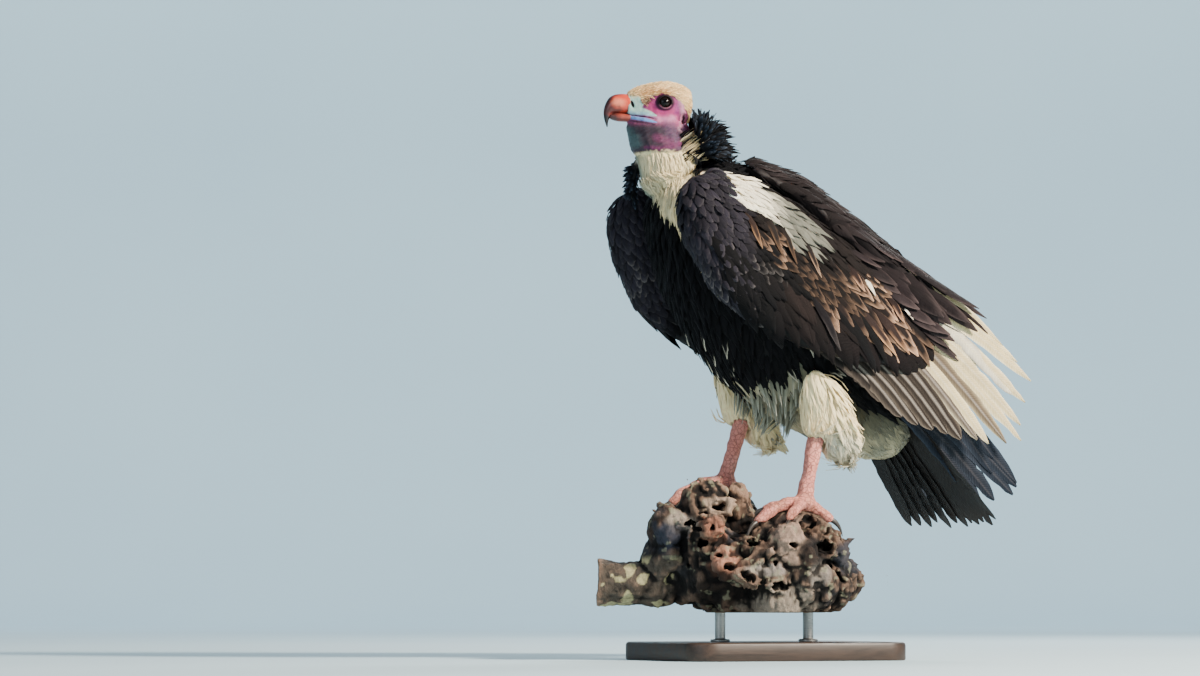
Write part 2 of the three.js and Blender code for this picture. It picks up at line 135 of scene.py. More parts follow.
# ---------------------------------------------------------------- colours
def linear(code):
    """A colour such as "c08040" as linear RGB."""
    value = np.array([int(code[k:k + 2], 16) for k in (0, 2, 4)]) / 255
    return np.where(value <= 0.04045, value / 12.92, ((value + 0.055) / 1.055) ** 2.4)


def at(value, points):
    """What a function of points gives there, what a colour's code stands for, or the value itself."""
    if callable(value):
        return value(points)
    return linear(value) if isinstance(value, str) else np.asarray(value)


def colours_at(colour, points):
    """One row of RGB for each point."""
    return np.broadcast_to(at(colour, points), points.shape)


def painted(points, base, *layers):
    """The base colour with layers over it, each a share from 0 to 1 for every point and a colour."""
    colour = colours_at(base, points)
    for share, over in layers:
        share = np.asarray(share)[..., None]
        colour = colour * (1 - share) + at(over, points) * share
    return colour


# ---------------------------------------------------------------- meshes
UV_MAP = "OFBake"


def make_object(name, points, faces, material, sharp=None):
    """A mesh object from points in millimetres and an (n, 3) or (n, 4) array of faces."""
    faces = np.asarray(faces)
    corners = faces.shape[1]
    mesh = bpy.data.meshes.new(name)
    mesh.vertices.add(len(points))
    mesh.vertices.foreach_set("co", (np.asarray(points, np.float32) * MM).ravel())
    mesh.loops.add(faces.size)
    mesh.loops.foreach_set("vertex_index", faces.astype(np.int32).ravel())
    mesh.polygons.add(len(faces))
    mesh.polygons.foreach_set("loop_start", np.arange(0, faces.size, corners, dtype=np.int32))
    mesh.update(calc_edges=True)
    mesh.validate()
    mesh.polygons.foreach_set("use_smooth", np.full(len(mesh.polygons), True))
    if sharp:
        mesh.set_sharp_from_angle(angle=radians(sharp))
    mesh.materials.append(material)
    piece = bpy.data.objects.new(name, mesh)
    bpy.context.scene.collection.objects.link(piece)
    return piece


def set_colours(piece, colours):
    """Stores one RGB colour for each vertex."""
    layer = piece.data.color_attributes.new("Col", "FLOAT_COLOR", "POINT")
    rgba = np.ones((len(piece.data.vertices), 4), np.float32)
    rgba[:, :3] = colours
    layer.data.foreach_set("color", rgba.ravel())


def set_barbs(piece, places):
    """Stores for each vertex where it lies in its vane: across, along and the vane's own lot."""
    layer = piece.data.attributes.new("barb", "FLOAT_VECTOR", "POINT")
    layer.data.foreach_set("vector", np.asarray(places, np.float32).ravel())


def set_uv(piece, uv_of_vertex):
    """A UV map from one place for each vertex."""
    layer = piece.data.uv_layers.new(name=UV_MAP)
    corner = np.empty(len(piece.data.loops), np.int32)
    piece.data.loops.foreach_get("vertex_index", corner)
    layer.data.foreach_set("uv", np.asarray(uv_of_vertex, np.float32)[corner].ravel())


def place_piece(piece, slot, *replaced):
    """Says what a piece rides on and which CAD nodes it stands for. slot is not used."""
    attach(piece, "root")
    if replaced:
        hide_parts(*replaced)


# ---------------------------------------------------------------- distance fields
def node_mesh(name):
    """A CAD node's points in millimetres and its triangles."""
    mesh = NODES[name].data
    mesh.calc_loop_triangles()
    points = np.empty(len(mesh.vertices) * 3, np.float32)
    mesh.vertices.foreach_get("co", points)
    faces = np.empty(len(mesh.loop_triangles) * 3, np.int32)
    mesh.loop_triangles.foreach_get("vertices", faces)
    return points.reshape(-1, 3) / MM, faces.reshape(-1, 3).astype(np.uint32)


class Field:
    """Signed distances in millimetres, positive outside, on a regular lattice."""

    def __init__(self, low, high, voxel, band):
        self.low = np.array(low, float)
        self.voxel = voxel
        self.band = band
        self.shape = tuple(int(n) for n in np.ceil((np.array(high) - self.low) / voxel))
        self.value = np.full(self.shape, band, np.float32)

    def distance_to(self, points, faces):
        """Distances to a closed mesh, cut off at the band."""
        transform = openvdb.createLinearTransform(voxelSize=self.voxel)
        transform.postTranslate(tuple(self.low))
        grid = openvdb.FloatGrid.createLevelSetFromPolygons(
            np.ascontiguousarray(points, np.float32), triangles=faces, transform=transform,
            halfWidth=self.band / self.voxel)
        dense = np.empty(self.shape, np.float32)
        grid.copyToArray(dense)
        return dense

    def join(self, other, blend):
        """Smooth union with another lattice of distances."""
        self.value = soft_union(self.value, other, blend)

    def blur(self, passes):
        """Softens the lattice of distances by averaging neighbours."""
        for _ in range(passes):
            for axis in range(3):
                ahead = np.roll(self.value, 1, axis)
                self.value = 0.5 * self.value + 0.25 * (ahead + np.roll(self.value, -1, axis))

    def lattice(self):
        """The place of every lattice point."""
        axes = [self.low[k] + self.voxel * np.arange(self.shape[k]) for k in range(3)]
        return np.stack(np.meshgrid(*axes, indexing="ij"), -1)

    def sample(self, points):
        """Distances at points, from the eight lattice points round each."""
        scaled = (points - self.low) / self.voxel
        cell = np.clip(np.floor(scaled).astype(int), 0, np.array(self.shape) - 2)
        f = np.clip(scaled - cell, 0, 1)
        total = 0
        for corner in np.ndindex(2, 2, 2):
            weight = np.prod([f[:, k] if corner[k] else 1 - f[:, k] for k in range(3)], axis=0)
            total = total + weight * self.value[tuple((cell + corner).T)]
        return total

    def slope(self, points):
        """Unit vectors that point out of the surface."""
        step = self.voxel
        parts = []
        for k in range(3):
            shift = np.zeros(3)
            shift[k] = step
            parts.append(self.sample(points + shift) - self.sample(points - shift))
        return unit(np.stack(parts, -1))

    def surface(self):
        """The surface's points and four-cornered faces, turned out."""
        grid = openvdb.FloatGrid(float(self.band))
        clipped = np.clip(self.value, -self.band, self.band)
        grid.copyFromArray(np.ascontiguousarray(clipped))
        points, quads = grid.convertToQuads()
        points = points * self.voxel + self.low
        a, b, c, d = (points[quads[:, k]] for k in range(4))
        volume = np.sum(np.cross(b - a, c - a) * a) + np.sum(np.cross(c - a, d - a) * a)
        return points, quads if volume > 0 else quads[:, ::-1]
# ---------------------------------------------------------------- the skin
# Each flesh node with the depth of its coat, in millimetres. The number of a row is its tract.
FLESH = {
    "trunk": 6, "neck": 5, "ruff": 8, "thigh_left": 7, "thigh_right": 7,
    "scapulars_left": 4, "scapulars_right": 4, "wing_coverts_left": 5, "wing_coverts_right": 5,
    "head": 0, "tarsus_left": 0, "tarsus_right": 0, "foot_left": 0, "foot_right": 0,
}
TRACTS = list(FLESH)
# Two corners of each lattice of distances, and the spacing of its points.
BODY_LATTICE = (([-176, -226, 176], [176, 356, 706]), 2.5)
HEAD_LATTICE = (([-62, -212, 640], [58, -92, 766]), 0.85)
LEG_LATTICE = (([-92, -112, 180], [92, 92, 344]), 1.1)


SWELL = 0.25  # the skin lies this much further out than its coat's depth says


def flesh_field(lattice, names, blend, depth_of):
    """The joined flesh of some nodes, and for each lattice point the tract that is nearest."""
    corners, voxel = lattice
    field = Field(*corners, voxel, band=6 * voxel)
    tract = np.zeros(field.shape, np.uint8)
    nearest = np.full(field.shape, 1e9, np.float32)
    for name in names:
        points, faces = node_mesh(name)
        distance = field.distance_to(points, faces)
        closer = distance < nearest
        tract[closer] = TRACTS.index(name)
        nearest = np.minimum(nearest, distance)
        field.join(distance + depth_of(name, field) - SWELL, blend)
    return field, tract


body, body_tract = flesh_field(
    BODY_LATTICE, [name for name in TRACTS if "foot" not in name and "tarsus" not in name], 9,
    lambda name, field: FLESH[name],
)
body.blur(1)


def in_tract(*names):
    """A test of whether points belong to any of these flesh nodes."""
    wanted = [TRACTS.index(name) for name in names]

    def test(points):
        cell = np.rint((points - body.low) / body.voxel).astype(int)
        cell = np.clip(cell, 0, np.array(body.shape) - 1)
        return np.isin(body_tract[tuple(cell.T)], wanted)

    return test


# ---------------------------------------------------------------- the head's own frame
HEAD_CENTRE = np.array([-6, -152, 734])
HEAD_TURN = radians(15)
FORWARD = np.array([-sin(HEAD_TURN), -cos(HEAD_TURN), 0])
SIDEWAYS = np.array([cos(HEAD_TURN), -sin(HEAD_TURN), 0])
UPWARD = np.array([0, 0, 1])
EYE = {"radius": 9.6, "forward": -3.5, "side": 23, "up": -4}


def head_place(forward, side, up):
    """A place in the body's frame from distances along the head's own three directions."""
    forward, side, up = (np.asarray(v, float)[..., None] for v in (forward, side, up))
    return HEAD_CENTRE + forward * FORWARD + side * SIDEWAYS + up * UPWARD


def head_coordinates(points):
    """Distances forward, to the left and up from the point between the eyes."""
    offset = points - HEAD_CENTRE
    return offset @ FORWARD, offset @ SIDEWAYS, offset[..., 2]


THROAT_END = 667  # the bare throat ends and the foreneck's feathers begin at this height


def head_depth(name, field):
    """The bare throat lies at the CAD surface; the feathered neck lies under its coat."""
    if name == "head":
        return 0.4
    forward, _, up = head_coordinates(field.lattice())
    z = up + HEAD_CENTRE[2]
    feathered = np.maximum(smooth_step(THROAT_END, THROAT_END - 8, z), smooth_step(-16, -26, forward))
    return 0.5 + 4 * feathered


head, _ = flesh_field(HEAD_LATTICE, ["head", "neck"], 5, head_depth)
head_points = head.lattice()

NOSTRIL = (37.5, -5.4)  # forward and up
EAR = (-29.5, -24.5)
# Hollows and, where the depth is negative, swellings on both sides of the head: the depth, then the middle
# and the size as (forward, side, up).
HEAD_HOLLOWS = {
    "brow": (-1.8, (2, 21, 4.5), (13, 7, 3.2)),
    "cheek": (-1.2, (-2, 24, -16), (16, 9, 6)),
    "before the eye": (1.6, (16, 17, -3), (6, 6, 6)),
    "behind the eye": (1.0, (-20, 26, -6), (6, 8, 8)),
    "ear hole": (3.4, (EAR[0], 24, EAR[1]), (2.4, 8, 4.6)),
}


def gape_height(forward):
    """The line of the closed mouth, from the bill's base back to its corner."""
    return -18 - (43 - forward) * 0.24


def carve_head():
    """Brows, eye sockets, nostrils, ear holes, gape, cheeks and the folds of the throat."""
    forward, side, up = head_coordinates(head_points)
    head.blur(2)
    value = head.value
    for depth, middle, size in HEAD_HOLLOWS.values():
        reach = [(place - m) / s for place, m, s in zip((forward, np.abs(side), up), middle, size)]
        value += depth * np.exp(-sum(r * r for r in reach))
    ear_rim = np.hypot((forward - EAR[0]) / 5.0, (up - EAR[1]) / 7.6)
    value -= 0.9 * np.exp(-((ear_rim - 1) / 0.25) ** 2) * (np.abs(side) > 12)
    slant = forward - NOSTRIL[0] - 0.25 * (up - NOSTRIL[1])
    value += 2.8 * np.exp(-(slant / 1.5) ** 2 - ((up - NOSTRIL[1]) / 4.4) ** 2) * (np.abs(side) > 5)
    gape = np.exp(-((up - gape_height(forward)) / 0.9) ** 2)
    value += 1.7 * gape * smooth_step(7, 13, forward)
    value -= 0.9 * np.exp(-((up - gape_height(forward) + 5) / 3.2) ** 2) * smooth_step(8, 16, forward)
    ring = np.hypot(forward - EYE["forward"], up - EYE["up"]) - 9.4
    value -= 0.9 * np.exp(-(ring / 1.5) ** 2) * (np.abs(side) > 12)
    folds = np.sin((up + 0.45 * forward) * 0.9 + 3.4 * value_noise(head_points, 16, 3))
    folds = folds * (0.5 + 0.5 * value_noise(head_points, 11, 4))
    value -= 0.45 * folds * smooth_step(-24, -34, up) * smooth_step(50, 30, forward)
    value -= 0.28 * rough_noise(head_points, 6.0, 2, 6) * smooth_step(-20, -30, up)
    creases = rough_noise(head_points, 5.0, 2, 5)
    value -= 0.25 * creases * smooth_step(10, 2, up)


carve_head()


def carve_lids():
    """The socket that holds the eyeball, with a lid above and below it."""
    forward, side, up = head_coordinates(head_points)
    for way in (-1, 1):
        centre = (EYE["forward"], way * EYE["side"], EYE["up"])
        away = [forward - centre[0], side - centre[1], up - centre[2]]
        distance = np.sqrt(sum(a * a for a in away))
        ball = distance - EYE["radius"] - 0.15
        outer = distance - EYE["radius"] - 1.7
        opening = np.hypot(away[0] / 8.1, (away[2] - 0.2) / (7.3 - 0.010 * away[0] ** 2)) - 1
        lids = np.maximum(outer, -opening * 5)
        head.value = np.maximum(soft_union(head.value, lids, 2.0), -ball)
        clear = np.where(way * side > EYE["side"] - 2, -opening * 5, -9)
        head.value = np.maximum(head.value, np.minimum(clear, 3.0))


carve_lids()
legs, _ = flesh_field(
    LEG_LATTICE, ["tarsus_left", "tarsus_right", "foot_left", "foot_right"], 3.5,
    lambda name, field: -1.9 if "foot" in name else -0.3,
)
legs.blur(2)
shell = np.abs(legs.value) < 5
legs.value[shell] -= 0.9 * value_noise(legs.lattice()[shell], 8, 8)


def coarser(field, step):
    """The same distances on every step-th lattice point."""
    copy = Field.__new__(Field)
    copy.low, copy.voxel, copy.band = field.low, field.voxel * step, field.band
    copy.value = np.ascontiguousarray(field.value[::step, ::step, ::step])
    copy.shape = copy.value.shape
    return copy


def skin_mesh():
    """The body, the head with the throat and the two legs, as one painted piece."""
    shells = [(coarser(body, 2), body_colour), (head, head_colour), (legs, leg_colour)]
    points, faces, colours = [], [], []
    start = 0
    for field, paint in shells:
        shell_points, shell_faces = field.surface()
        points.append(shell_points)
        faces.append(shell_faces.astype(np.int64) + start)
        colours.append(paint(shell_points))
        start += len(shell_points)
    return np.vstack(points), np.vstack(faces), np.vstack(colours)


def unwrap(piece):
    """A UV map of the piece's own shape, without overlaps."""
    bpy.ops.object.select_all(action="DESELECT")
    bpy.context.view_layer.objects.active = piece
    piece.select_set(True)
    piece.data.uv_layers.new(name=UV_MAP)
    bpy.ops.object.mode_set(mode="EDIT")
    bpy.ops.mesh.select_all(action="SELECT")
    bpy.ops.uv.smart_project(angle_limit=radians(66), island_margin=0.002)
    bpy.ops.object.mode_set(mode="OBJECT")
    piece.select_set(False)


class SkinMap:
    """Finds the place on the skin's unwrap that is nearest to a point."""

    def __init__(self, piece):
        mesh = piece.data
        self.tree = BVHTree.FromObject(piece, bpy.context.evaluated_depsgraph_get())
        self.uv = np.empty(len(mesh.loops) * 2, np.float32)
        mesh.uv_layers[UV_MAP].data.foreach_get("uv", self.uv)
        self.uv = self.uv.reshape(-1, 4, 2).mean(1)

    def at(self, points):
        """Middle of the nearest face on the map, for each point in millimetres."""
        nearest = [self.tree.find_nearest(Vector(p))[2] for p in points * MM]
        return self.uv[nearest]


# ---------------------------------------------------------------- feathers
# Half widths from root to tip, as shares of the widest.
ROUND_TIP = (0.5, 0.8, 0.97, 1.0, 0.93, 0.72, 0.3)
POINTED_TIP = (0.45, 0.85, 1.0, 0.85, 0.6, 0.34, 0.06)
LANCE_TIP = (0.3, 0.62, 0.88, 1.0, 0.96, 0.78, 0.5, 0.1)
SPIKE_TIP = (0.6, 1.0, 0.9, 0.6, 0.08)
BLADE_TIP = (0.6, 1.0, 1.0, 0.82, 0.28)
DOWN_TIP = (0.5, 1.0, 0.75, 0.08)
# Places across a vane, from the left edge at -1 over the shaft to the right edge at 1.
FULL = np.array([-1.0, -0.5, 0.0, 0.5, 1.0])
EDGED = np.array([-1.0, -0.66, -0.4, 0.0, 0.4, 0.66, 1.0])
SLIM = np.array([-1.0, 0.0, 1.0])
# A small vane's patch of the UV map: its middle, half its width, its lower end and its height.
SMALL_PATCH = (0, 0.0014, -0.0015, 0.003)
CROWDING = 5  # random places drawn for each root that has room
VARIES = (0.86, 1.14)  # each vane's length and width are its tract's times a share between these
EDGE_DROP = 0.02  # a vane's edges lie this much under the curve of its face
VANE_THICKNESS, TUFT_THICKNESS, PLUME_THICKNESS = 0.5, 0.6, 0.9
COLOUR_PLACE = 0.55  # share of its length at which a vane takes its colour
TUFT_SIZE = 16  # vanes whose tips gather round one leader


class Coat:
    """Many thin closed vanes gathered into one piece."""

    def __init__(self, name):
        self.name = name
        self.points, self.faces, self.colours, self.barbs, self.patches = ([] for _ in range(5))
        self.roots, self.sizes = [], []
        self.count = 0

    def add(self, vane, half, length, u, lot, colours, roots, patch=SMALL_PATCH):
        """Stores vanes, as (vanes, rings, corners, 3). Each ring is a closed outline across its vane."""
        vanes, rings, corners = vane.shape[:3]
        t = np.linspace(0, 1, rings)
        size = rings * corners
        starts = self.count + size * np.arange(vanes)
        self.count += vanes * size
        barbs = np.empty(vane.shape)
        barbs[..., 0] = half * u
        barbs[..., 1] = (length[:, None] * t)[..., None]
        barbs[..., 2] = lot[:, None, None]
        middle, half_width, low, height = patch
        patches = np.empty((vanes, rings, corners, 2))
        patches[..., 0] = middle + half_width * u
        patches[..., 1] = (low + height * t)[:, None]
        for store, rows in ((self.points, vane), (self.colours, colours), (self.barbs, barbs)):
            store.append(rows.reshape(-1, 3))
        self.faces.append((tube_faces(rings, corners)[None] + starts[:, None, None]).reshape(-1, 3))
        self.patches.append(patches.reshape(-1, 2))
        self.roots.append(roots)
        self.sizes.append(np.full(vanes, size))

    def map_places(self):
        """The skin's place on the UV map at each vane's root, for every point."""
        return np.repeat(SKIN_MAP.at(np.vstack(self.roots)), np.concatenate(self.sizes), axis=0)

    def build(self, material, slot, *replaced):
        """Makes the piece and says what it stands for."""
        piece = make_object(self.name, np.vstack(self.points), np.vstack(self.faces), material, sharp=50)
        set_colours(piece, np.vstack(self.colours))
        set_barbs(piece, np.vstack(self.barbs))
        set_uv(piece, self.map_places() + np.vstack(self.patches))
        place_piece(piece, slot, *replaced)


def tube_faces(length, corners):
    """Triangles of a tube of rings, closed at both ends, with its faces turned out."""
    faces = []
    for ring in range(length - 1):
        for k in range(corners):
            a, b = ring * corners + k, ring * corners + (k + 1) % corners
            faces += [(a, b, a + corners), (b, b + corners, a + corners)]
    last = (length - 1) * corners
    for k in range(1, corners - 1):
        faces += [(0, k + 1, k), (last, last + k, last + k + 1)]
    return np.array(faces)


def level(vectors, normals):
    """Unit vectors along what is left of the vectors at right angles to the normals."""
    return unit(vectors - np.sum(vectors * normals, -1, keepdims=True) * normals)


def lay_spines(field, roots, along, lengths, heights, give):
    """Lines that follow the surface from each root. heights holds each line's rise at each step."""
    steps = heights.shape[1] - 1
    step = lengths[:, None] / steps
    place = roots
    normal = field.slope(place)
    along = level(along, normal)
    spine, normals = [place + normal * heights[:, :1]], [normal]
    for k in range(1, steps + 1):
        place = place + along * step
        normal = unit(normal + field.slope(place))
        fall = field.sample(place)[:, None]
        place = place - normal * np.clip(fall, -9, give * step)
        along = level(along, normal)
        spine.append(place + normal * heights[:, k:k + 1])
        normals.append(normal)
    return np.stack(spine, 1), np.stack(normals, 1)


def vane_rings(spine, normals, left, right, u, camber, thick, roll):
    """Closed flat rings along each spine, from the left edge over the shaft to the right edge."""
    tangent = unit(np.gradient(spine, axis=1))
    across = unit(np.cross(normals, tangent))
    across = unit(across + roll * normals)
    normals = unit(np.cross(tangent, across))
    half = np.where(u < 0, left[..., None], right[..., None])
    side = half * u
    lift = thick * (1 - np.abs(u)) - camber * half * u * u
    lift[..., (0, -1)] -= EDGE_DROP
    return spine[:, :, None] + across[:, :, None] * side[..., None] + normals[:, :, None] * lift[..., None]


def scatter(rng, points, spacing):
    """Keeps a random choice of the points, none closer to another than its own spacing."""
    cells = np.floor(points / float(spacing.max())).astype(int).tolist()
    places, gaps = points.tolist(), (spacing**2).tolist()
    around = [(i - 1, j - 1, k - 1) for i, j, k in np.ndindex(3, 3, 3)]
    taken, kept = {}, []
    for index in rng.permutation(len(points)):
        (x, y, z), (i, j, k), gap = places[index], cells[index], gaps[index]
        near = (place for a, b, c in around for place in taken.get((i + a, j + b, k + c), ()))
        if all((a - x) ** 2 + (b - y) ** 2 + (c - z) ** 2 >= gap for a, b, c in near):
            taken.setdefault((i, j, k), []).append((x, y, z))
            kept.append(index)
    return np.array(kept)


class Roots:
    """Places on the surface of a field where feathers may grow."""

    def __init__(self, field, seed):
        self.rng = np.random.default_rng(seed)
        points, quads = field.surface()
        self.corners = points[quads]
        a, b, c, d = (self.corners[:, k] for k in range(4))
        self.area = np.linalg.norm(np.cross(c - a, d - b), axis=1) / 2

    def spread(self, allowed, spacing):
        """Evenly spread roots where allowed(points) is true."""
        middle = self.corners.mean(1)
        usable = np.flatnonzero(allowed(middle))
        wanted = self.area[usable] / at(spacing, middle[usable]) ** 2 * CROWDING
        faces = np.repeat(usable, self.rng.poisson(wanted))
        s, t = self.rng.random((2, len(faces), 1))
        a, b, c, d = (self.corners[faces, k] for k in range(4))
        points = (a * (1 - s) + b * s) * (1 - t) + (d * (1 - s) + c * s) * t
        return points[scatter(self.rng, points, np.broadcast_to(at(spacing, points), len(points)))]


ROOTS = Roots(body, 11)


def feathers(coat, roots, along, length, width, rise, paint, profile=ROUND_TIP, u=FULL, camber=0.3,
             give=0.35, sway=0.12, roll=0.12, ragged=0.12, clump=0.0, field=body, rng=ROOTS.rng):
    """One vane at each root, along the surface. rise is its height at the root, the middle and the tip."""
    count = len(roots)
    t = np.linspace(0, 1, len(profile))
    turn = rng.normal(0, sway, count)[:, None]
    if clump:
        turn = turn + clump * value_noise(roots, 14, 7)[:, None]
    normal = field.slope(roots)
    along = level(at(along, roots), normal)
    along = unit(along + turn * np.cross(normal, along))
    length = at(length, roots) * rng.uniform(*VARIES, count)
    width = at(width, roots) * rng.uniform(*VARIES, count)
    heights = np.interp(t, [0, 0.45, 1], rise) * rng.uniform(0.8, 1.2, (count, 1))
    heights = heights + rng.normal(0, 0.25, (count, 1))
    spine, normals = lay_spines(field, roots, along, length, heights, give)
    half = width[:, None] * 0.5 * np.array(profile)
    left, right = (half * (1 + ragged * rng.normal(0, 1, half.shape)) for _ in range(2))
    lean = rng.normal(0, roll, (count, 1, 1))
    vane = vane_rings(spine, normals, left, right, u, camber, VANE_THICKNESS, lean)
    lot = rng.random(count)
    centres = roots + along * length[:, None] * COLOUR_PLACE
    coat.add(vane, half[..., None], length, u, lot, paint(centres, t, u, lot), roots)


def tufts(coat, roots, lean, outward, length, width, paint, drift=0.2, gather=0.0, profile=SPIKE_TIP, u=SLIM,
          droop=0.16, sink=1.5):
    """Vanes that stand out from the surface. gather draws their tips together in tufts."""
    rng = ROOTS.rng
    count = len(roots)
    t = np.linspace(0, 1, len(profile))
    normal = body.slope(roots)
    lean = unit(at(lean, roots) + outward * normal)
    waves = np.stack([value_noise(roots, 15, salt) for salt in (81, 82, 83)], -1)
    lean = unit(lean + drift * waves + rng.normal(0, 0.07, (count, 3)))
    length = at(length, roots) * rng.uniform(0.7, 1.12, count)
    if gather:
        leaders = rng.choice(count, max(count // TUFT_SIZE, 1), replace=False)
        apart = np.linalg.norm(roots[:, None] - roots[leaders][None], axis=2)
        leader = leaders[np.argmin(apart, axis=1)]
        shared = roots[leader] + lean[leader] * length[:, None] - roots
        lean = unit(lean * (1 - gather) + shared / length[:, None] * gather)
    fall = np.array([0, 0, -droop]) * (t**2)[:, None]
    reach = length[:, None, None] * (lean[:, None] * t[:, None] + fall)
    spine = roots[:, None] - normal[:, None] * sink + reach
    normals = np.broadcast_to(level(normal, lean)[:, None], spine.shape)
    half = width * 0.5 * rng.uniform(0.8, 1.2, (count, 1)) * np.array(profile)
    roll = rng.normal(0, 0.15, (count, 1, 1))
    vane = vane_rings(spine, normals, half, half, u, 0.15, TUFT_THICKNESS, roll)
    lot = rng.random(count)
    coat.add(vane, half[..., None], length, u, lot, paint(roots, t, u, lot), roots)


def coloured(base, tip=None, edge=None, shade=0.25, root_shade=0.55):
    """Paints vanes: a colour, one for the tip, a narrow edge and a tone for each, darker at its root as
    painted shade under the vanes that cover it.
    """

    def paint(places, t, u, lot):
        colours = colours_at(base, places)[:, None, None]
        along = t[:, None, None]
        if tip is not None:
            share = smooth_step(0.6, 1.0, along)
            colours = colours * (1 - share) + colours_at(tip, places)[:, None, None] * share
        if edge is not None:
            colour, strength = edge
            rim = smooth_step(0.5, 0.95, np.abs(u))[:, None] * smooth_step(0.4, 0.75, along)
            strength = np.broadcast_to(at(strength, places), len(places))[:, None, None, None]
            share = np.maximum(rim, smooth_step(0.78, 0.95, along)) * strength
            colours = colours * (1 - share) + at(colour, places) * share
        tone = 1 + shade * (lot - 0.5) * 2
        # painted shade: each vane darkens towards its root, where the vanes over it shade it
        depth = root_shade + (1 - root_shade) * smooth_step(0, 0.5, along)
        colours = np.clip(colours * tone[:, None, None, None] * depth, 0, 1)
        return np.broadcast_to(colours, (len(places), len(t), len(u), 3))

    return paint


# ---------------------------------------------------------------- materials
class Shader:
    """A node material built step by step."""

    def __init__(self, name, **settings):
        self.material = bpy.data.materials.new(name)
        self.material.use_nodes = True
        self.nodes = self.material.node_tree.nodes
        self.links = self.material.node_tree.links
        self.surface = self.nodes["Principled BSDF"]
        for socket, value in settings.items():
            self.surface.inputs[socket.replace("_", " ")].default_value = value

    def add(self, kind, output, inputs, **settings):
        """A new node's output. Each input takes another node's output, a number or a colour's code."""
        node = self.nodes.new(f"ShaderNode{kind}")
        for name, value in settings.items():
            setattr(node, name, value)
        for key, value in inputs.items():
            if isinstance(value, bpy.types.NodeSocket):
                self.links.new(value, node.inputs[key])
            else:
                node.inputs[key].default_value = (*linear(value), 1.0) if isinstance(value, str) else value
        return node.outputs[output]

    def position(self):
        """The place in the piece, in metres."""
        return self.add("TexCoord", "Object", {})

    def noise(self, scale, detail, vector=None, roughness=0.5, distortion=0.0):
        """Smooth noise from 0 to 1."""
        return self.add("TexNoise", "Fac", {
            "Vector": vector or self.position(), "Scale": scale, "Detail": detail, "Roughness": roughness,
            "Distortion": distortion})

    def net(self, scale, seam):
        """One inside the cells of a net and down to nothing on the seams between them."""
        cells = {"Vector": self.position(), "Scale": scale}
        return self.rescale(self.add("TexVoronoi", "Distance", cells, feature="DISTANCE_TO_EDGE"), 0.0, seam)

    def stretch(self, x, y, z):
        """The place with each axis scaled."""
        return self.add("Mapping", "Vector", {"Vector": self.position(), "Scale": (x, y, z)})

    def maths(self, operation, first, second=0.5):
        return self.add("Math", 0, {0: first, 1: second}, operation=operation)

    def rescale(self, value, low, high, to_low=0.0, to_high=1.0):
        """The value with its range between low and high moved to another range."""
        return self.add("MapRange", 0, {0: value, 1: low, 2: high, 3: to_low, 4: to_high})

    def mix(self, share, first, second, blend="MIX"):
        return self.add("Mix", 2, {0: share, 6: first, 7: second}, data_type="RGBA", blend_type=blend)

    def shaded(self, tone):
        """The vertex colours, lighter or darker by a tone."""
        colours = self.add("Attribute", "Color", {}, attribute_name="Col")
        grey = self.add("CombineColor", 0, {0: tone, 1: tone, 2: tone})
        return self.mix(1.0, colours, grey, "MULTIPLY")

    def bump(self, height, strength, distance):
        """Adds a bump over those there are."""
        normal = self.surface.inputs["Normal"]
        inputs = {"Height": height, "Strength": strength, "Distance": distance}
        if normal.is_linked:
            inputs["Normal"] = normal.links[0].from_socket
        self.links.new(self.add("Bump", "Normal", inputs), normal)

    def colour(self, socket):
        self.links.new(socket, self.surface.inputs["Base Color"])

    def roughness(self, value, low, high):
        """Lets the roughness follow a noise."""
        self.links.new(self.rescale(value, 0.3, 0.7, low, high), self.surface.inputs["Roughness"])


def feather_material(name, barb_width, barb_depth, sheen, roughness=0.72):
    """Vertex colours, with slanting barbs and slight wear."""
    shader = Shader(name, Roughness=roughness, Sheen_Weight=sheen, Sheen_Roughness=0.45,
                    Specular_IOR_Level=0.1)
    barb = shader.add("Attribute", "Vector", {}, attribute_name="barb")
    across, along = shader.add("SeparateXYZ", slice(2), {0: barb})
    slant = shader.maths("SUBTRACT", along, shader.maths("MULTIPLY", shader.maths("ABSOLUTE", across), 0.8))
    wobble = shader.maths("MULTIPLY", shader.noise(160, 3), 1.6)
    phase = shader.maths("MULTIPLY", shader.maths("ADD", slant, wobble), 2 * pi / barb_width)
    barbs = shader.maths("SINE", phase)
    tone = shader.rescale(barbs, -1, 1, 1 - barb_depth, 1 + barb_depth * 0.5)
    patchy = shader.rescale(shader.noise(70, 5, roughness=0.65), 0.3, 0.7, 0.86, 1.14)
    shader.colour(shader.shaded(shader.maths("MULTIPLY", tone, patchy)))
    shader.bump(barbs, 0.5, 0.0004)
    return shader.material


def skin_material():
    """Painted skin with fine creases and pores, and a net of scales on the legs."""
    shader = Shader("bare_skin", Roughness=0.6, Subsurface_Weight=0.12, Subsurface_Scale=0.004,
                    Specular_IOR_Level=0.2)
    mottled = shader.rescale(shader.noise(220, 5, roughness=0.6), 0.3, 0.7, 0.86, 1.12)
    height = shader.add("SeparateXYZ", 2, {0: shader.position()})
    leg = shader.rescale(height, 0.346, 0.338)
    scales = shader.net(190, 0.09)
    shader.bump(shader.net(420, 0.12), 0.25, 0.0005)
    shader.bump(shader.maths("MULTIPLY", scales, leg), 0.9, 0.0011)
    seams = shader.maths("MULTIPLY", shader.maths("SUBTRACT", 1.0, scales),
                         shader.maths("MULTIPLY", leg, 0.45))
    shader.colour(shader.mix(seams, shader.shaded(mottled), "6b3f38"))
    shader.bump(shader.noise(300, 4), 0.3, 0.0008)
    return shader.material


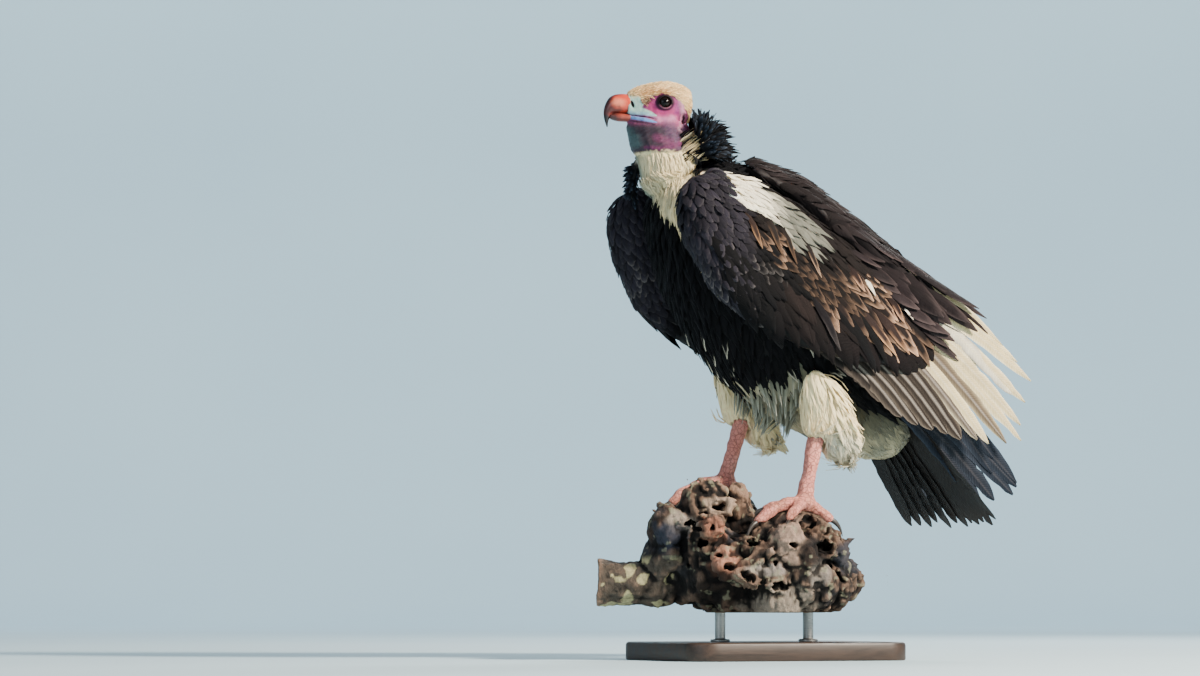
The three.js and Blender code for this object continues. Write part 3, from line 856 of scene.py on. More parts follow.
def bill_material():
    """Smooth horn, slightly streaked and worn."""
    shader = Shader("bill_horn", Roughness=0.3, Coat_Weight=0.25, Coat_Roughness=0.25)
    shader.colour(shader.shaded(shader.rescale(shader.noise(90, 6, roughness=0.7), 0.35, 0.65, 0.88, 1.1)))
    shader.roughness(shader.noise(200, 4), 0.24, 0.5)
    shader.bump(shader.noise(180, 5), 0.25, 0.0006)
    return shader.material


def claw_material():
    """Dark horn with paler streaks."""
    shader = Shader("claw_horn", Roughness=0.4, Coat_Weight=0.2, Coat_Roughness=0.3)
    shader.colour(shader.mix(shader.noise(120, 5), "151315", "4b423c"))
    shader.bump(shader.noise(260, 4), 0.3, 0.0005)
    return shader.material


def eye_material():
    """Painted glass under a thin wet coat."""
    shader = Shader("eye_glass", Roughness=0.08, Coat_Weight=0.15, Coat_Roughness=0.02,
                    Specular_IOR_Level=0.12)
    shader.colour(shader.add("Attribute", "Color", {}, attribute_name="Col"))
    return shader.material


def bark_material():
    """Dry dead wood with a fine rough grain."""
    shader = Shader("dead_wood", Roughness=0.88, Specular_IOR_Level=0.25)
    streak = shader.noise(140, 8, shader.stretch(1, 1, 0.45), 0.66, 0.8)
    fine = shader.noise(520, 5)
    grain = shader.maths("ADD", streak, shader.maths("MULTIPLY", fine, 0.4))
    tone = shader.rescale(grain, 0.5, 0.9, 0.62, 1.34)
    shader.colour(shader.shaded(tone))
    shader.bump(streak, 0.8, 0.0035)
    shader.bump(fine, 0.5, 0.0012)
    return shader.material


def board_material():
    """Dark oiled board with long grain."""
    shader = Shader("dark_board", Roughness=0.5)
    stretched = shader.stretch(38, 3.2, 38)
    grain = shader.noise(2.2, 8, stretched, 0.62, 0.6)
    fine = shader.noise(19.8, 4, stretched)
    line = shader.maths("ADD", shader.maths("MULTIPLY", grain, 0.8), shader.maths("MULTIPLY", fine, 0.2))
    shader.colour(shader.mix(shader.rescale(line, 0.35, 0.65), "241a14", "46342a"))
    shader.roughness(line, 0.36, 0.6)
    shader.bump(line, 0.25, 0.0006)
    return shader.material


def steel_material():
    """Steel brushed along the rods."""
    shader = Shader("brushed_steel", Metallic=1.0, Roughness=0.32)
    lines = shader.noise(60, 5, shader.stretch(1, 1, 40))
    shader.colour(shader.mix(lines, "8d8d8b", "b4b3b0"))
    shader.roughness(lines, 0.24, 0.42)
    shader.bump(lines, 0.1, 0.0002)
    return shader.material


def backdrop_material():
    """Matt pale blue, faintly uneven."""
    shader = Shader("pale_backdrop", Roughness=0.95)
    shader.colour(shader.mix(shader.noise(1.2, 2), "b4cdd8", "bed5de"))
    return shader.material


# ---------------------------------------------------------------- room
WALL_DISTANCE = 9.0  # metres behind the bird
FLOOR_REACH = 20000  # millimetres in front of the bird and to each side
WALL_HEIGHT = 9000
WALL_BEND = 1800  # radius between the floor and the wall


def add_backdrop():
    """A plain pale floor that bends up into a wall far behind the bird."""
    back = WALL_BEND - 1000 * WALL_DISTANCE
    bend = [(back - WALL_BEND * sin(a), WALL_BEND - WALL_BEND * cos(a)) for a in np.linspace(0, pi / 2, 24)]
    line = [(FLOOR_REACH, 0), *bend, (back - WALL_BEND, WALL_HEIGHT)]
    points = [TOWARDS * depth + ACROSS * side + UPWARD * height
              for depth, height in line for side in (-FLOOR_REACH, FLOOR_REACH)]
    faces = [(2 * k, 2 * k + 1, 2 * k + 3, 2 * k + 2) for k in range(len(line) - 1)]
    make_object("backdrop", points, faces, backdrop_material())


def add_area_light(name, place, size, power, colour, target=(0, 0, 0.45)):
    """A round lamp that shines at the target, in metres and watts."""
    data = bpy.data.lights.new(name, "AREA")
    data.shape = "DISK"
    data.size = size
    data.energy = power
    data.color = colour
    add_aimed(name, data, place, Vector(target) - Vector(place))


def light_room():
    """A warm soft key from the upper right, a cool fill from the left and a pale surround."""
    world = bpy.data.worlds.new("surround")
    bpy.context.scene.world = world
    world.use_nodes = True
    background = world.node_tree.nodes["Background"]
    background.inputs["Color"].default_value = (0.60, 0.74, 0.86, 1)
    background.inputs["Strength"].default_value = 0.42
    add_area_light("key", (3.1, 1.7, 2.5), 0.7, 520, (1.0, 0.90, 0.76))
    add_area_light("fill", (1.6, -3.0, 1.4), 2.2, 26, (0.80, 0.91, 1.0))
    add_area_light("rim", (-2.0, 2.2, 2.4), 1.4, 90, (1.0, 0.96, 0.90))
    for name, across in (("wall_left", -3.0), ("wall_right", 3.0)):
        place = (3.6 - WALL_DISTANCE) * TOWARDS + across * ACROSS + 5.2 * UPWARD
        target = -WALL_DISTANCE * TOWARDS + 0.4 * across * ACROSS + 1.4 * UPWARD
        add_area_light(name, place, 2.6, 215, (0.86, 0.95, 1.0), target)


# ---------------------------------------------------------------- markings
BLACK = linear("070608")
BREAST = linear("08070a")
CHARCOAL = linear("221f27")
MANTLE = linear("1d1718")
BROWN = linear("15100f")
BUFF = linear("c99f82")
GREY_EDGE = linear("6b6462")
WHITE = linear("fbf0d8")
DOWN = linear("ffe9b8")
# painted shade: the white down as it looks in shade under the body
SHADED_DOWN = linear("807e6d")
CAP = linear("f3d09a")

# Places on the folded wing's outer face, as (y, z).
WHITE_PANEL = [(-123, 638), (-94, 641), (-55, 616), (-29, 600), (-4, 586), (18, 572), (38, 545), (24, 530),
               (3, 522), (-20, 525), (-45, 552), (-66, 579), (-87, 582), (-100, 588), (-109, 598),
               (-107, 620)]
BUFF_PANEL = [(-96, 572), (-60, 566), (-20, 530), (40, 540), (100, 520), (160, 494), (200, 462), (236, 420),
              (200, 410), (120, 418), (60, 430), (0, 470), (-50, 500), (-80, 540)]
STREAKED_PANEL = [(-160, 545), (-110, 530), (-60, 540), (-36, 500), (-38, 405), (-120, 405)]


def inside(points, outline, fray=5.0):
    """Share from 0 to 1 of being within an outline in the (y, z) plane, with a frayed border."""
    y = points[:, 1] + fray * value_noise(points, 22, 31)
    z = points[:, 2] + fray * value_noise(points, 22, 32)
    within = np.zeros(len(points), bool)
    for (y0, z0), (y1, z1) in zip(outline, outline[1:] + outline[:1]):
        crossing = (z0 > z) != (z1 > z)
        within ^= crossing & (y < y0 + (z - z0) * (y1 - y0) / (z1 - z0 + 1e-9))
    return within.astype(float)


def bib(points):
    """The white foreneck, which narrows down the crop towards the left wing."""
    x, y, z = points.T
    middle = np.interp(z, [500, 550, 577, 605, 640, 667], [66, 64, 58, 40, 16, 6])
    half = np.interp(z, [486, 500, 518, 534, 542, 555, 577, 605, 640, 667],
                     [-9, 3, 9, 5, -3, 7, 15, 30, 48, 60])
    edge = np.abs(x - middle) - half + 5 * value_noise(points, 18, 41)
    rear = np.interp(z, [560, 610, 645, 665, 690], [-90, -100, -116, -129, -137])
    return smooth_step(4, -4, edge) * smooth_step(4, -4, y - rear + 5 * value_noise(points, 12, 42))


def belly(points):
    """Below the black breast, and the underside back to the tail, the down is white."""
    y = points[:, 1]
    sides = np.interp(y, [-112, -87, -36, -2, 8, 40, 80, 120, 240],
                      [414, 380, 370, 372, 398, 380, 350, 334, 320])
    middle = np.interp(y, [-112, -87, -36, 1, 51, 110, 240], [414, 380, 370, 371, 360, 340, 320])
    border = np.where(np.abs(points[:, 0]) > 50, sides, middle)
    return smooth_step(3, -3, points[:, 2] - border + 9 * value_noise(points, 16, 43))


def wing_colour(points):
    """Charcoal at the wrist, a white panel above that greys towards the back as painted shade, brown coverts
    and a black front.
    """
    y, z = points[:, 1], points[:, 2]
    low = smooth_step(60, -20, y) * smooth_step(520, 480, z)
    wrist = smooth_step(-78, -104, y + 8 * value_noise(points, 25, 44))
    # painted shade: the white panel greys towards the back, where the scapulars shade it
    panel = painted(points, WHITE, (smooth_step(-76, -22, y), "6d6c62"))
    return painted(points, BROWN, (0.9 * low, BLACK), (inside(points, STREAKED_PANEL), BLACK),
                   (wrist, CHARCOAL), (inside(points, WHITE_PANEL), panel))


# Marks of the head's skin, painted in this order: colour, strength, softness and a line of places, each
# (forward, up, half width) in the head's own frame.
HEAD_MARKS = [
    ("3f333d", 1.0, 0.35, [(50, -54, 23), (20, -54, 23), (-6, -56, 23), (-30, -60, 20)]),
    ("4c6061", 0.85, 0.75, [(47, -36, 6), (40, -44, 7), (34, -58, 7)]),
    ("2a212c", 0.60, 0.85, [(34, -40, 5), (14, -46, 6), (0, -42, 5)]),
    ("2c212c", 0.50, 0.85, [(26, -56, 4), (8, -58, 4)]),
    ("5a3a58", 0.60, 0.90, [(-8, -36, 8), (-15, -50, 9), (-22, -60, 7)]),
    ("7d3460", 0.50, 0.90, [(8, -52, 5), (-10, -58, 5)]),
    ("6a2a54", 0.75, 0.95, [(22, -64, 2.2), (4, -66.5, 3.0), (-14, -64, 3.2), (-24, -57, 2.6)]),
    ("2e172a", 0.60, 0.90, [(28, -69.5, 1.4), (2, -72.5, 1.8), (-20, -71, 1.5)]),
    ("a42f68", 0.80, 0.85, [(17, -5, 5), (10, -15, 6), (-2, -20, 6), (-16, -18, 5)]),
    ("bd80a2", 0.60, 0.90, [(18, -22, 3), (2, -27, 4), (-14, -25, 4)]),
    ("843a72", 0.75, 0.85, [(-14, 3, 4), (-19, -5, 5), (-19, -16, 4)]),
    ("b98aa0", 0.60, 0.90, [(-24, 0, 3.0), (-27, -12, 3.6), (-29, -28, 4.5), (-25, -38, 4)]),
    # painted shade: the ear hole near-black, as shade inside it
    ("2a1620", 0.95, 0.50, [(-29.5, -21.5, 1.9), (-29.5, -27, 2.2)]),
    ("a6cabd", 1.00, 0.16, [(46, -4, 13), (37, -4, 11.5), (33.5, -5, 9.5)]),
    ("a6cabd", 0.95, 0.35, [(38, -13, 5.5), (26, -15.2, 4.4), (16, -18.6, 2.9), (8, -22, 0.8)]),
    ("8fb4cc", 0.60, 0.80, [(40, -17, 2.4), (24, -18.5, 2.4), (12, -21.6, 1.2)]),
    ("8fa39c", 0.50, 0.90, [(33, 2, 3), (31, -8, 3)]),
    ("c9a878", 0.70, 0.80, [(44, 7.5, 3.0), (34, 7, 3.4)]),
    ("5a93cf", 0.90, 0.45, [(47, -21, 1.2), (36, -23.4, 2.3), (21, -27.2, 2.5), (13, -29.8, 1.5),
                            (8, -31, 0.5)]),
    ("2a2633", 0.70, 0.70, [(47, -24.4, 0.9), (34, -28.4, 1.2), (20, -31.8, 1.1), (9, -34, 0.6)]),
    ("2c202c", 0.80, 0.60, [(47, -17.4, 0.5), (28, -21.6, 0.6), (12, -25.5, 0.7), (7, -27, 0.4)]),
    ("2a1430", 0.90, 0.75, [(20, 0.5, 0.8), (12, 4.4, 1.8), (0, 6.6, 2.6), (-10, 5.8, 2.3),
                            (-20, 0.5, 1.0)]),
]
# Rings round the eye, from the outermost: colour, strength, radius where it ends and how softly.
EYE_RINGS = [("8a2f60", 0.60, 15.5, 3.0), ("2e1228", 0.88, 12.6, 1.2), ("915a6e", 0.75, 9.6, 0.5),
             ("150c0f", 1.00, 8.3, 0.5)]
# The lower border of the crown's down, forward against up: over the eye and down between eye and cere.
CAP_EDGE = ([-30, -25, -19, -10, 0, 8, 14, 18, 22, 25, 29, 36, 48],
            [-9, -3, 3.5, 7.6, 8.6, 7.4, 4.5, -1, -7, -4, 4, 7.5, 9])
CRISP = 0.5  # marks less soft than this keep a smooth outline; the others waver


def stroke(forward, up, line, softness):
    """Share from 0 to 1 of lying on a line of (forward, up, half width) places."""
    share = np.zeros(np.shape(forward))
    for (f0, u0, w0), (f1, u1, w1) in zip(line, line[1:]):
        run = (forward - f0) * (f1 - f0) + (up - u0) * (u1 - u0)
        t = np.clip(run / ((f1 - f0) ** 2 + (u1 - u0) ** 2), 0, 1)
        reach = np.hypot(forward - f0 - t * (f1 - f0), up - u0 - t * (u1 - u0)) / (w0 + t * (w1 - w0))
        share = np.maximum(share, smooth_step(1 + softness, 1 - softness, reach))
    return share


def head_colour(points):
    """The bare face, cere, throat and the pale down of the cap."""
    forward, _, up = head_coordinates(points)
    wavy_forward = forward + 1.3 * value_noise(points, 5, 51) + 0.5 * value_noise(points, 1.8, 54)
    wavy_up = up + 1.0 * value_noise(points, 4, 52) + 0.4 * value_noise(points, 1.8, 55)
    places = {True: (forward, up), False: (wavy_forward, wavy_up)}
    marks = [(strength * stroke(*places[softness < CRISP], line, softness), code)
             for code, strength, softness, line in HEAD_MARKS]
    feathered = smooth_step(-67, -72, wavy_up + 2 * value_noise(points, 3, 57))
    # painted shade: the nostril slit near-black, as shade inside the opening
    nostril_up = up - NOSTRIL[1]
    slit = np.hypot((forward - NOSTRIL[0] - 0.25 * nostril_up) / 2.0, nostril_up / 4.9)
    # painted shade: dark lines in the throat's creases
    crease_shade = smooth_step(0.12, 0.0, np.abs(value_noise(points * (1, 1, 2.4), 6, 56)))
    crease_shade = crease_shade * smooth_step(-30, -38, up) * smooth_step(-74, -66, up)
    ring = np.hypot(forward - EYE["forward"], (up - EYE["up"]) * 1.08)
    rings = [(strength * smooth_step(radius + soft, radius - soft, ring), code)
             for code, strength, radius, soft in EYE_RINGS]
    lid = smooth_step(11.2, 9.8, ring) * smooth_step(-6, -2, up - EYE["up"])
    return painted(points, "9c4a74", *marks, (feathered, 0.8 * DOWN),
                   (smooth_step(1.25, 0.8, slit), "120d0f"), (0.4 * crease_shade, "241a24"), *rings,
                   (lid, "14080f"), (cap_share(points), CAP))


def cap_share(points):
    """Where the head carries pale down: the crown, the back of the head and down behind the ear."""
    forward, _, up = head_coordinates(points)
    fray = 1.6 * value_noise(points, 5, 53) + 0.8 * value_noise(points, 2, 56)
    crown = smooth_step(-1.6, 1.6, up + fray - np.interp(forward, *CAP_EDGE)) * (forward > -31)
    rear = np.interp(up, [-70, -34, -20, -9], [-46, -41, -37.5, -31])
    return np.maximum(crown, smooth_step(1.6, -1.6, forward - rear + fray))


def body_colour(points):
    """The colour of the coat that grows at each place of the body's skin."""
    wings, shoulders, thighs = (in_tract(*(f"{name}_{side}" for side in PAIR))(points)
                                for name in ("wing_coverts", "scapulars", "thigh"))
    # the belly's skin takes SHADED_DOWN, the white down's colour in painted shade
    return painted(points, BREAST, (belly(points), SHADED_DOWN), (wings, wing_colour(points)),
                   (shoulders, MANTLE), (thighs, DOWN), (bib(points) * ~wings, WHITE))


def leg_colour(points):
    """Pink hide, browner on the toes."""
    tone = 0.5 + 0.5 * value_noise(points, 20, 61)
    toes = smooth_step(236, 214, points[:, 2]) * (0.5 + 0.5 * value_noise(points, 9, 62))
    return painted(points, "e0978a", (0.6 * tone, "c8776c"), (0.6 * toes, "a5725a"))


# ---------------------------------------------------------------- coats, tract by tract
EVERYWHERE = (-np.inf, np.inf)


def in_box(points, x=EVERYWHERE, y=EVERYWHERE, z=EVERYWHERE):
    """Whether points are between these limits."""
    pairs = zip(points.T, (x, y, z))
    return np.all([(low < value) & (value < high) for value, (low, high) in pairs], axis=0)


def wing_flow(roots):
    """Down and back; at the wrist the small feathers fan round from the front edge."""
    front = smooth_step(-90, -170, roots[:, 1])[:, None]
    return np.array([0, 0.72, -0.69]) * (1 - front) + np.array([0, 0.28, -0.96]) * front


def above_coverts(points):
    """True above the rows of large coverts."""
    line = np.interp(points[:, 1], [-110, -70, 4, 78, 140, 200, 260], [400, 486, 484, 486, 492, 476, 450])
    return points[:, 2] > line


def buff_edges(centres):
    """How strongly the coverts are edged, in patches, and most towards the back of the wing."""
    patches = smooth_step(-0.45, 0.3, value_noise(centres, 20, 72))
    back = 0.55 + 0.45 * smooth_step(40, 110, centres[:, 1])
    return inside(centres, BUFF_PANEL, 9) * back * (0.3 + 0.7 * patches)


def grey_edges(centres):
    """How strongly the small coverts are edged: at the wrist, and here and there in front."""
    flecks = inside(centres, STREAKED_PANEL) * (value_noise(centres, 9, 71) > 0.25)
    return 0.5 * flecks + 0.14 * smooth_step(-80, -120, centres[:, 1])


def coat_of_wing(side):
    """Small coverts at the wrist, growing towards the greater coverts."""
    coat = Coat(f"coverts_{side}")
    mine = in_tract(f"wing_coverts_{side}")
    outer = lambda p: (body.slope(p)[:, 0] * WAYS[side] > -0.55) | (p[:, 1] < -60)
    size = lambda p: smooth_step(-120, 70, p[:, 1])
    roots = ROOTS.spread(lambda p: mine(p) & above_coverts(p) & outer(p), lambda p: 6.6 + 3.4 * size(p))
    white = inside(roots, WHITE_PANEL) >= 0.5
    buffed = inside(roots, BUFF_PANEL) > 0.5
    feathers(coat, roots[~white & ~buffed], wing_flow, lambda r: 21 + 28 * size(r),
             lambda r: 10.5 + 4 * size(r), (-1, 3.0, 4.6),
             coloured(wing_colour, edge=(GREY_EDGE, grey_edges), shade=0.4, root_shade=0.75),
             u=EDGED, camber=0.2)
    feathers(coat, roots[~white & buffed], wing_flow, lambda r: 38 + 16 * size(r),
             lambda r: 13.5 + 3 * size(r), (-1, 3.2, 5.0),
             coloured(wing_colour, edge=(BUFF, buff_edges), shade=0.4), profile=LANCE_TIP, u=EDGED)
    feathers(coat, roots[white], wing_flow, lambda r: 30 + 14 * size(r), 10, (-1, 4.0, 5.5),
             coloured(wing_colour, shade=0.1, root_shade=0.8), profile=POINTED_TIP, ragged=0.2)
    single_feathers(coat, side)
    return coat


# Feathers that stand out on the wing: start (y, z), tip (y, z), width, colour, edge and its strength.
WING_MARKS = [
    ((-68, 592), (-52, 520), 11, "1c1614", "8a6a52", 0.5),
    ((-48, 584), (-30, 516), 10, "1c1614", "8a6a52", 0.5),
    ((-12, 556), (8, 496), 10, "1d1716", "caa588", 0.7),
    ((-96, 584), (-78, 520), 10, "2a1e1a", "b98d68", 0.7),
    ((88, 504), (100, 474), 8, "f3ead8", "c9a183", 0.4),
    ((150, 470), (168, 446), 7, "f3ead8", "e0b890", 0.4),
    ((126, 486), (146, 446), 13, "241917", "d8a584", 0.9),
    ((60, 520), (84, 474), 13, "241917", "d8a584", 0.9),
    ((-10, 484), (44, 400), 12, "141013", "5a5250", 0.5),
    # the next three near-black feathers are painted shadow: the dark band under the edge of the coverts
    ((16, 482), (96, 392), 16, "0a080a", "1c1719", 0.3),
    ((30, 476), (112, 376), 17, "0b090b", "1c1719", 0.3),
    ((58, 474), (128, 388), 16, "0c0a0b", "241d1e", 0.3),
    ((66, 470), (140, 394), 15, "2b201e", "d9a47a", 0.9),
    ((100, 462), (160, 402), 15, "2a1f1d", "c99670", 0.8),
]


def single_feathers(coat, side):
    """The feathers of the wing that differ from their neighbours."""
    rng = np.random.default_rng(33)
    for start, tip, width, base, rim, strength in WING_MARKS:
        run = np.subtract(tip, start)
        feathers(coat, on_wing(side, *start)[None], np.array([[0, *run]]), np.hypot(*run), width,
                 (0.5, 6.4, 7.2), coloured(base, edge=(rim, strength), shade=0.1), profile=LANCE_TIP,
                 u=EDGED, camber=0.16, sway=0.02, roll=0.05, ragged=0.06, rng=rng)


def coat_of_scapulars():
    """Dark brown shoulder feathers, longer towards the back."""
    coat = Coat("scapulars_coat")
    mine = in_tract("scapulars_left", "scapulars_right")
    size = lambda p: smooth_step(-90, 150, p[:, 1])
    roots = ROOTS.spread(lambda p: mine(p) & (p[:, 1] < 180), lambda p: 7.5 + 4.5 * size(p))
    edge = ("5f5353", lambda centres: 0.35 * smooth_step(0, 0.4, value_noise(centres, 15, 73)))
    feathers(coat, roots, (0, 0.8, -0.5), lambda r: 30 + 34 * size(r), lambda r: 12 + 7 * size(r),
             (-1, 3.0, 5.0), coloured(MANTLE, edge=edge, shade=0.3), profile=POINTED_TIP, give=0.25)
    return coat


def coat_of_trunk():
    """Black breast, flecked white at its lower border, and a dark back and rump."""
    coat = Coat("trunk_coat")
    mine = in_tract("trunk")
    roots = ROOTS.spread(lambda p: mine(p) & (belly(p) <= 0.5) & (bib(p) <= 0.5), 8.5)
    front = lambda r: smooth_step(60, -60, r[:, 1])[:, None]
    along = lambda r: np.array([0, 0.25, -1.0]) * front(r) + np.array([0, 0.8, -0.55]) * (1 - front(r))
    flecks = lambda c: 0.9 * ((value_noise(c, 5, 74) > 0.62) & in_box(c, y=(-np.inf, 80), z=(-np.inf, 440)))
    feathers(coat, roots, along, 38, 10.5, (-1, 4, 8), coloured(BREAST, edge=(WHITE, flecks), shade=0.35),
             profile=POINTED_TIP, ragged=0.2, clump=0.3)
    return coat


def down(coat, roots, tone, along, length, width, rise, clump, shade=0.06):
    """Soft pale strands that lie close over each other."""
    feathers(coat, roots, along, length, width, rise, coloured(tone, shade=shade, root_shade=0.9),
             profile=DOWN_TIP, u=SLIM, clump=clump, sway=0.14, ragged=0.2, give=0.5, camber=0.12, roll=0.05)


def wisps(coat, roots, length):
    """Wispy tufts of white down that hang clear of the body, painted grey as in shade."""
    tufts(coat, roots, (0, 0.12, -1.0), 0.35, length, 4.6, coloured(SHADED_DOWN, "a4a598", shade=0.1),
          drift=0.35, gather=0.5, droop=0.05)


def coat_of_belly():
    """White down on the belly and undertail, painted grey as in shade and darker up under the wing towards
    the tail as painted shadow, with loose tufts that hang between the legs.
    """
    coat = Coat("belly_down")
    mine = lambda p: in_tract("trunk")(p) & (belly(p) > 0.5)
    roots = ROOTS.spread(mine, 3.9)
    under = lambda r: smooth_step(90, 150, r[:, 1])[:, None]
    along = lambda r: np.array([0, 0.35, -1.0]) * (1 - under(r)) + np.array([0, 0.72, -0.62]) * under(r)
    # painted shadow: the down darkens towards the tail and up under the wing; pale adds lighter patches of
    # the white down
    shadow = lambda c: smooth_step(40, 90, c[:, 1]) * smooth_step(268, 335, c[:, 2])
    pale = lambda c: (0.12 + 0.45 * smooth_step(-0.1, 0.5, value_noise(c, 22, 85))) * (1 - 0.85 * shadow(c))
    tone = lambda c: painted(c, SHADED_DOWN, (shadow(c), "2c2a20"), (pale(c), 0.75 * DOWN))
    length = lambda r: 30 + 14 * smooth_step(80, 180, r[:, 1])
    down(coat, roots, tone, along, length, 6.4, (-1, 4, 5), 0.3, 0.12)
    under_side = lambda p: mine(p) & (np.abs(p[:, 1]) < 36) & (body.slope(p)[:, 2] < -0.45)
    wisps(coat, ROOTS.spread(under_side, 8), 34)
    return coat


def coat_of_thighs():
    """Smooth cream down, looser behind, with painted shade that greys it low down towards the back, under a
    fringe of black feathers.
    """
    coat = Coat("thigh_down")
    mine = in_tract("thigh_left", "thigh_right")
    roots = ROOTS.spread(mine, 3.1)
    # painted shade: the down greys low on the thigh and towards its back
    low = lambda c: smooth_step(330, 290, c[:, 2]) * 0.5 * (value_noise(c, 20, 75) + 1)
    tone = lambda c: painted(c, DOWN, (low(c) * smooth_step(20, 60, c[:, 1]), "b3b4a8"))
    behind = body.slope(roots)[:, 1] > -0.1
    down(coat, roots[~behind], tone, (0, 0.25, -1.0), 27, 4.4, (-1, 2.8, 3.2), 0.06, 0.05)
    down(coat, roots[behind], tone, (0, 0.5, -0.85), 38, 4.8, (-1, 6, 10), 0.04)
    wisps(coat, ROOTS.spread(lambda p: mine(p) & (p[:, 2] < 306) & (body.slope(p)[:, 1] > 0.2), 7), 26)
    rear = ROOTS.spread(lambda p: mine(p) & in_box(p, z=(296, 372)) & (body.slope(p)[:, 1] > 0.25), 4.5)
    tufts(coat, rear, (0, 0.62, -0.78), 0.25, 30, 8.0, coloured(tone, shade=0.15, root_shade=0.8), drift=0.12,
          gather=0.15, profile=BLADE_TIP)
    top = ROOTS.spread(lambda p: mine(p) & (p[:, 2] > 358 + 5 * value_noise(p, 9, 86)), 4)
    tufts(coat, top, (0, 0.3, -0.95), 0.22, 21, 6.0, coloured(BREAST, shade=0.4), gather=0.3)
    return coat


def coat_of_foreneck():
    """White strands that part into streaks down the foreneck and crop, grey-green on the far side as painted
    shade, with black ones at the sides.
    """
    coat = Coat("foreneck_down")
    coated = lambda p: p[:, 2] <= THROAT_END + 3 * value_noise(p, 7, 78)
    roots = ROOTS.spread(lambda p: in_tract("neck", "trunk")(p) & (bib(p) > 0.5) & coated(p), 2.5)
    # grey-green towards -X is painted shade on the far side of the neck; the streaks are the down's own
    streaks = lambda c: 0.4 * smooth_step(0, 0.4, value_noise(c * (1, 1, 0.2), 8, 77))
    tone = lambda c: painted(c, DOWN, (np.maximum(smooth_step(20, -16, c[:, 0]), streaks(c)), "8d9486"))
    down(coat, roots, tone, (0.12, 0.1, -1.0), lambda r: np.interp(r[:, 2], [640, 668], [26, 10]), 2.7,
         (-1, 1.8, 2.4), 0.12, 0.05)
    sides = ROOTS.spread(lambda p: in_tract("neck")(p) & (bib(p) <= 0.5) & coated(p), 6)
    feathers(coat, sides, (0, 0.5, -0.8), 26, 7, (-1, 4, 8), coloured(BLACK), profile=POINTED_TIP, clump=0.4,
             ragged=0.2)
    return coat


def ruff_flow(roots):
    """Up and back at the top of the ruff, level at its middle and down at its foot."""
    vector = 0.55 * unit(roots * (1, 1, 0) - np.array([0, -130, 0])) + np.array([0, 0.3, 0])
    vector[:, 1] -= 0.95 * smooth_step(672, 700, roots[:, 2]) * smooth_step(-84, -100, roots[:, 1])
    vector[:, 2] = np.interp(roots[:, 2], [610, 650, 685, 715], [-0.6, 0.0, 0.7, 1.3])
    return vector


def coat_of_ruff():
    """Spiky black feathers in clumps with paler tips as painted highlight, with pale streaked ones among
    them at the front edge.
    """
    coat = Coat("ruff_coat")
    roots = ROOTS.spread(in_tract("ruff"), 3.6)
    far_side = smooth_step(0, -30, roots[:, 0]) * smooth_step(700, 670, roots[:, 2])
    crest = smooth_step(668, 700, roots[:, 2])
    # the paler blue-grey tips are a painted highlight, the sheen of light on the black feathers
    tufts(coat, roots, ruff_flow, 0.5, 21 - 10 * far_side + 6 * crest, 4.8,
          coloured("0d1016", "3b4452", shade=0.5, root_shade=0.4), drift=0.14, gather=0.3, profile=BLADE_TIP)
    streaked = ROOTS.spread(lambda p: in_box(p, (8, np.inf), (-140, -117), (648, 684)), 2.8)
    tone = lambda c: painted(c, 0.8 * DOWN, (smooth_step(-0.1, 0.15, value_noise(c, 4, 79)), "15161a"))
    tufts(coat, streaked, (0.3, 0.60, 0.72), 0.35, 24, 2.0, coloured(tone, shade=0.3, root_shade=0.8),
          drift=0.05, gather=0.15)
    nape = ROOTS.spread(lambda p: in_box(p, (-74, 74), (-118, -70), (628, np.inf)), 5)
    tufts(coat, nape, (0, 0.85, 0.08), 0.45, 30, 6.0, coloured("0b0b0f", shade=0.5), drift=0.25, gather=0.4)
    mine = in_tract("neck", "trunk", "ruff")
    front = lambda p: in_box(p, (-np.inf, -34), (-np.inf, -110), (622, 676)) & (value_noise(p, 16, 80) > 0.3)
    far = ROOTS.spread(lambda p: mine(p) & front(p), 6.5)
    tufts(coat, far, (-0.75, -0.35, 0.2), 0.3, 11, 4.0, coloured("171a20", shade=0.5), drift=0.3, gather=0.7)
    return coat


def cap_tone(points):
    """Cream down, stained orange over the brow and flecked dark behind the crown."""
    forward, _, up = head_coordinates(points)
    stain = smooth_step(36, 20, forward) * smooth_step(-18, -4, forward) * smooth_step(20, 9, up)
    lores = smooth_step(6, -1, up) * smooth_step(10, 16, forward)
    specks = (value_noise(points, 2.6, 84) > 0.42) & (forward < -28) & (up > -2) & (up < 22)
    return painted(points, CAP, (0.6 * stain, "d9944f"), (0.85 * lores, "7d5640"), (0.55 * specks, "8a6a48"))


def coat_of_cap():
    """Short down on the crown, the back of the head and the hind neck."""
    coat = Coat("cap_down")
    source = Roots(coarser(head, 3), 12)
    roots = source.spread(lambda p: (cap_share(p) > 0.55) & (p[:, 2] > 662), 1.55)
    forward, _, up = head_coordinates(roots)
    back = -FORWARD * (1 - 0.2 * smooth_step(-5, 25, forward)[:, None])
    along = back + UPWARD * np.interp(up, [-20, 10, 26], [-1.0, -0.35, 0.15])[:, None]
    length = np.interp(forward, [-45, -20, 10, 30], [8.5, 7.5, 6, 4.5])
    feathers(coat, roots, along, length, 1.7, (-0.4, 0.8, 1.3),
             coloured(cap_tone, shade=0.06, root_shade=0.94), profile=DOWN_TIP, u=SLIM, clump=0.5, sway=0.25,
             ragged=0.15, give=0.2, field=head, rng=source.rng)
    return coat


# ---------------------------------------------------------------- flight and tail feathers
WIDE = np.linspace(-1, 1, 9)  # places across a large feather, as in FULL
PLUME_RINGS = 30
NOTCH_WIDTH = 0.016  # of the gaps in a worn edge, as a share of the feather's length
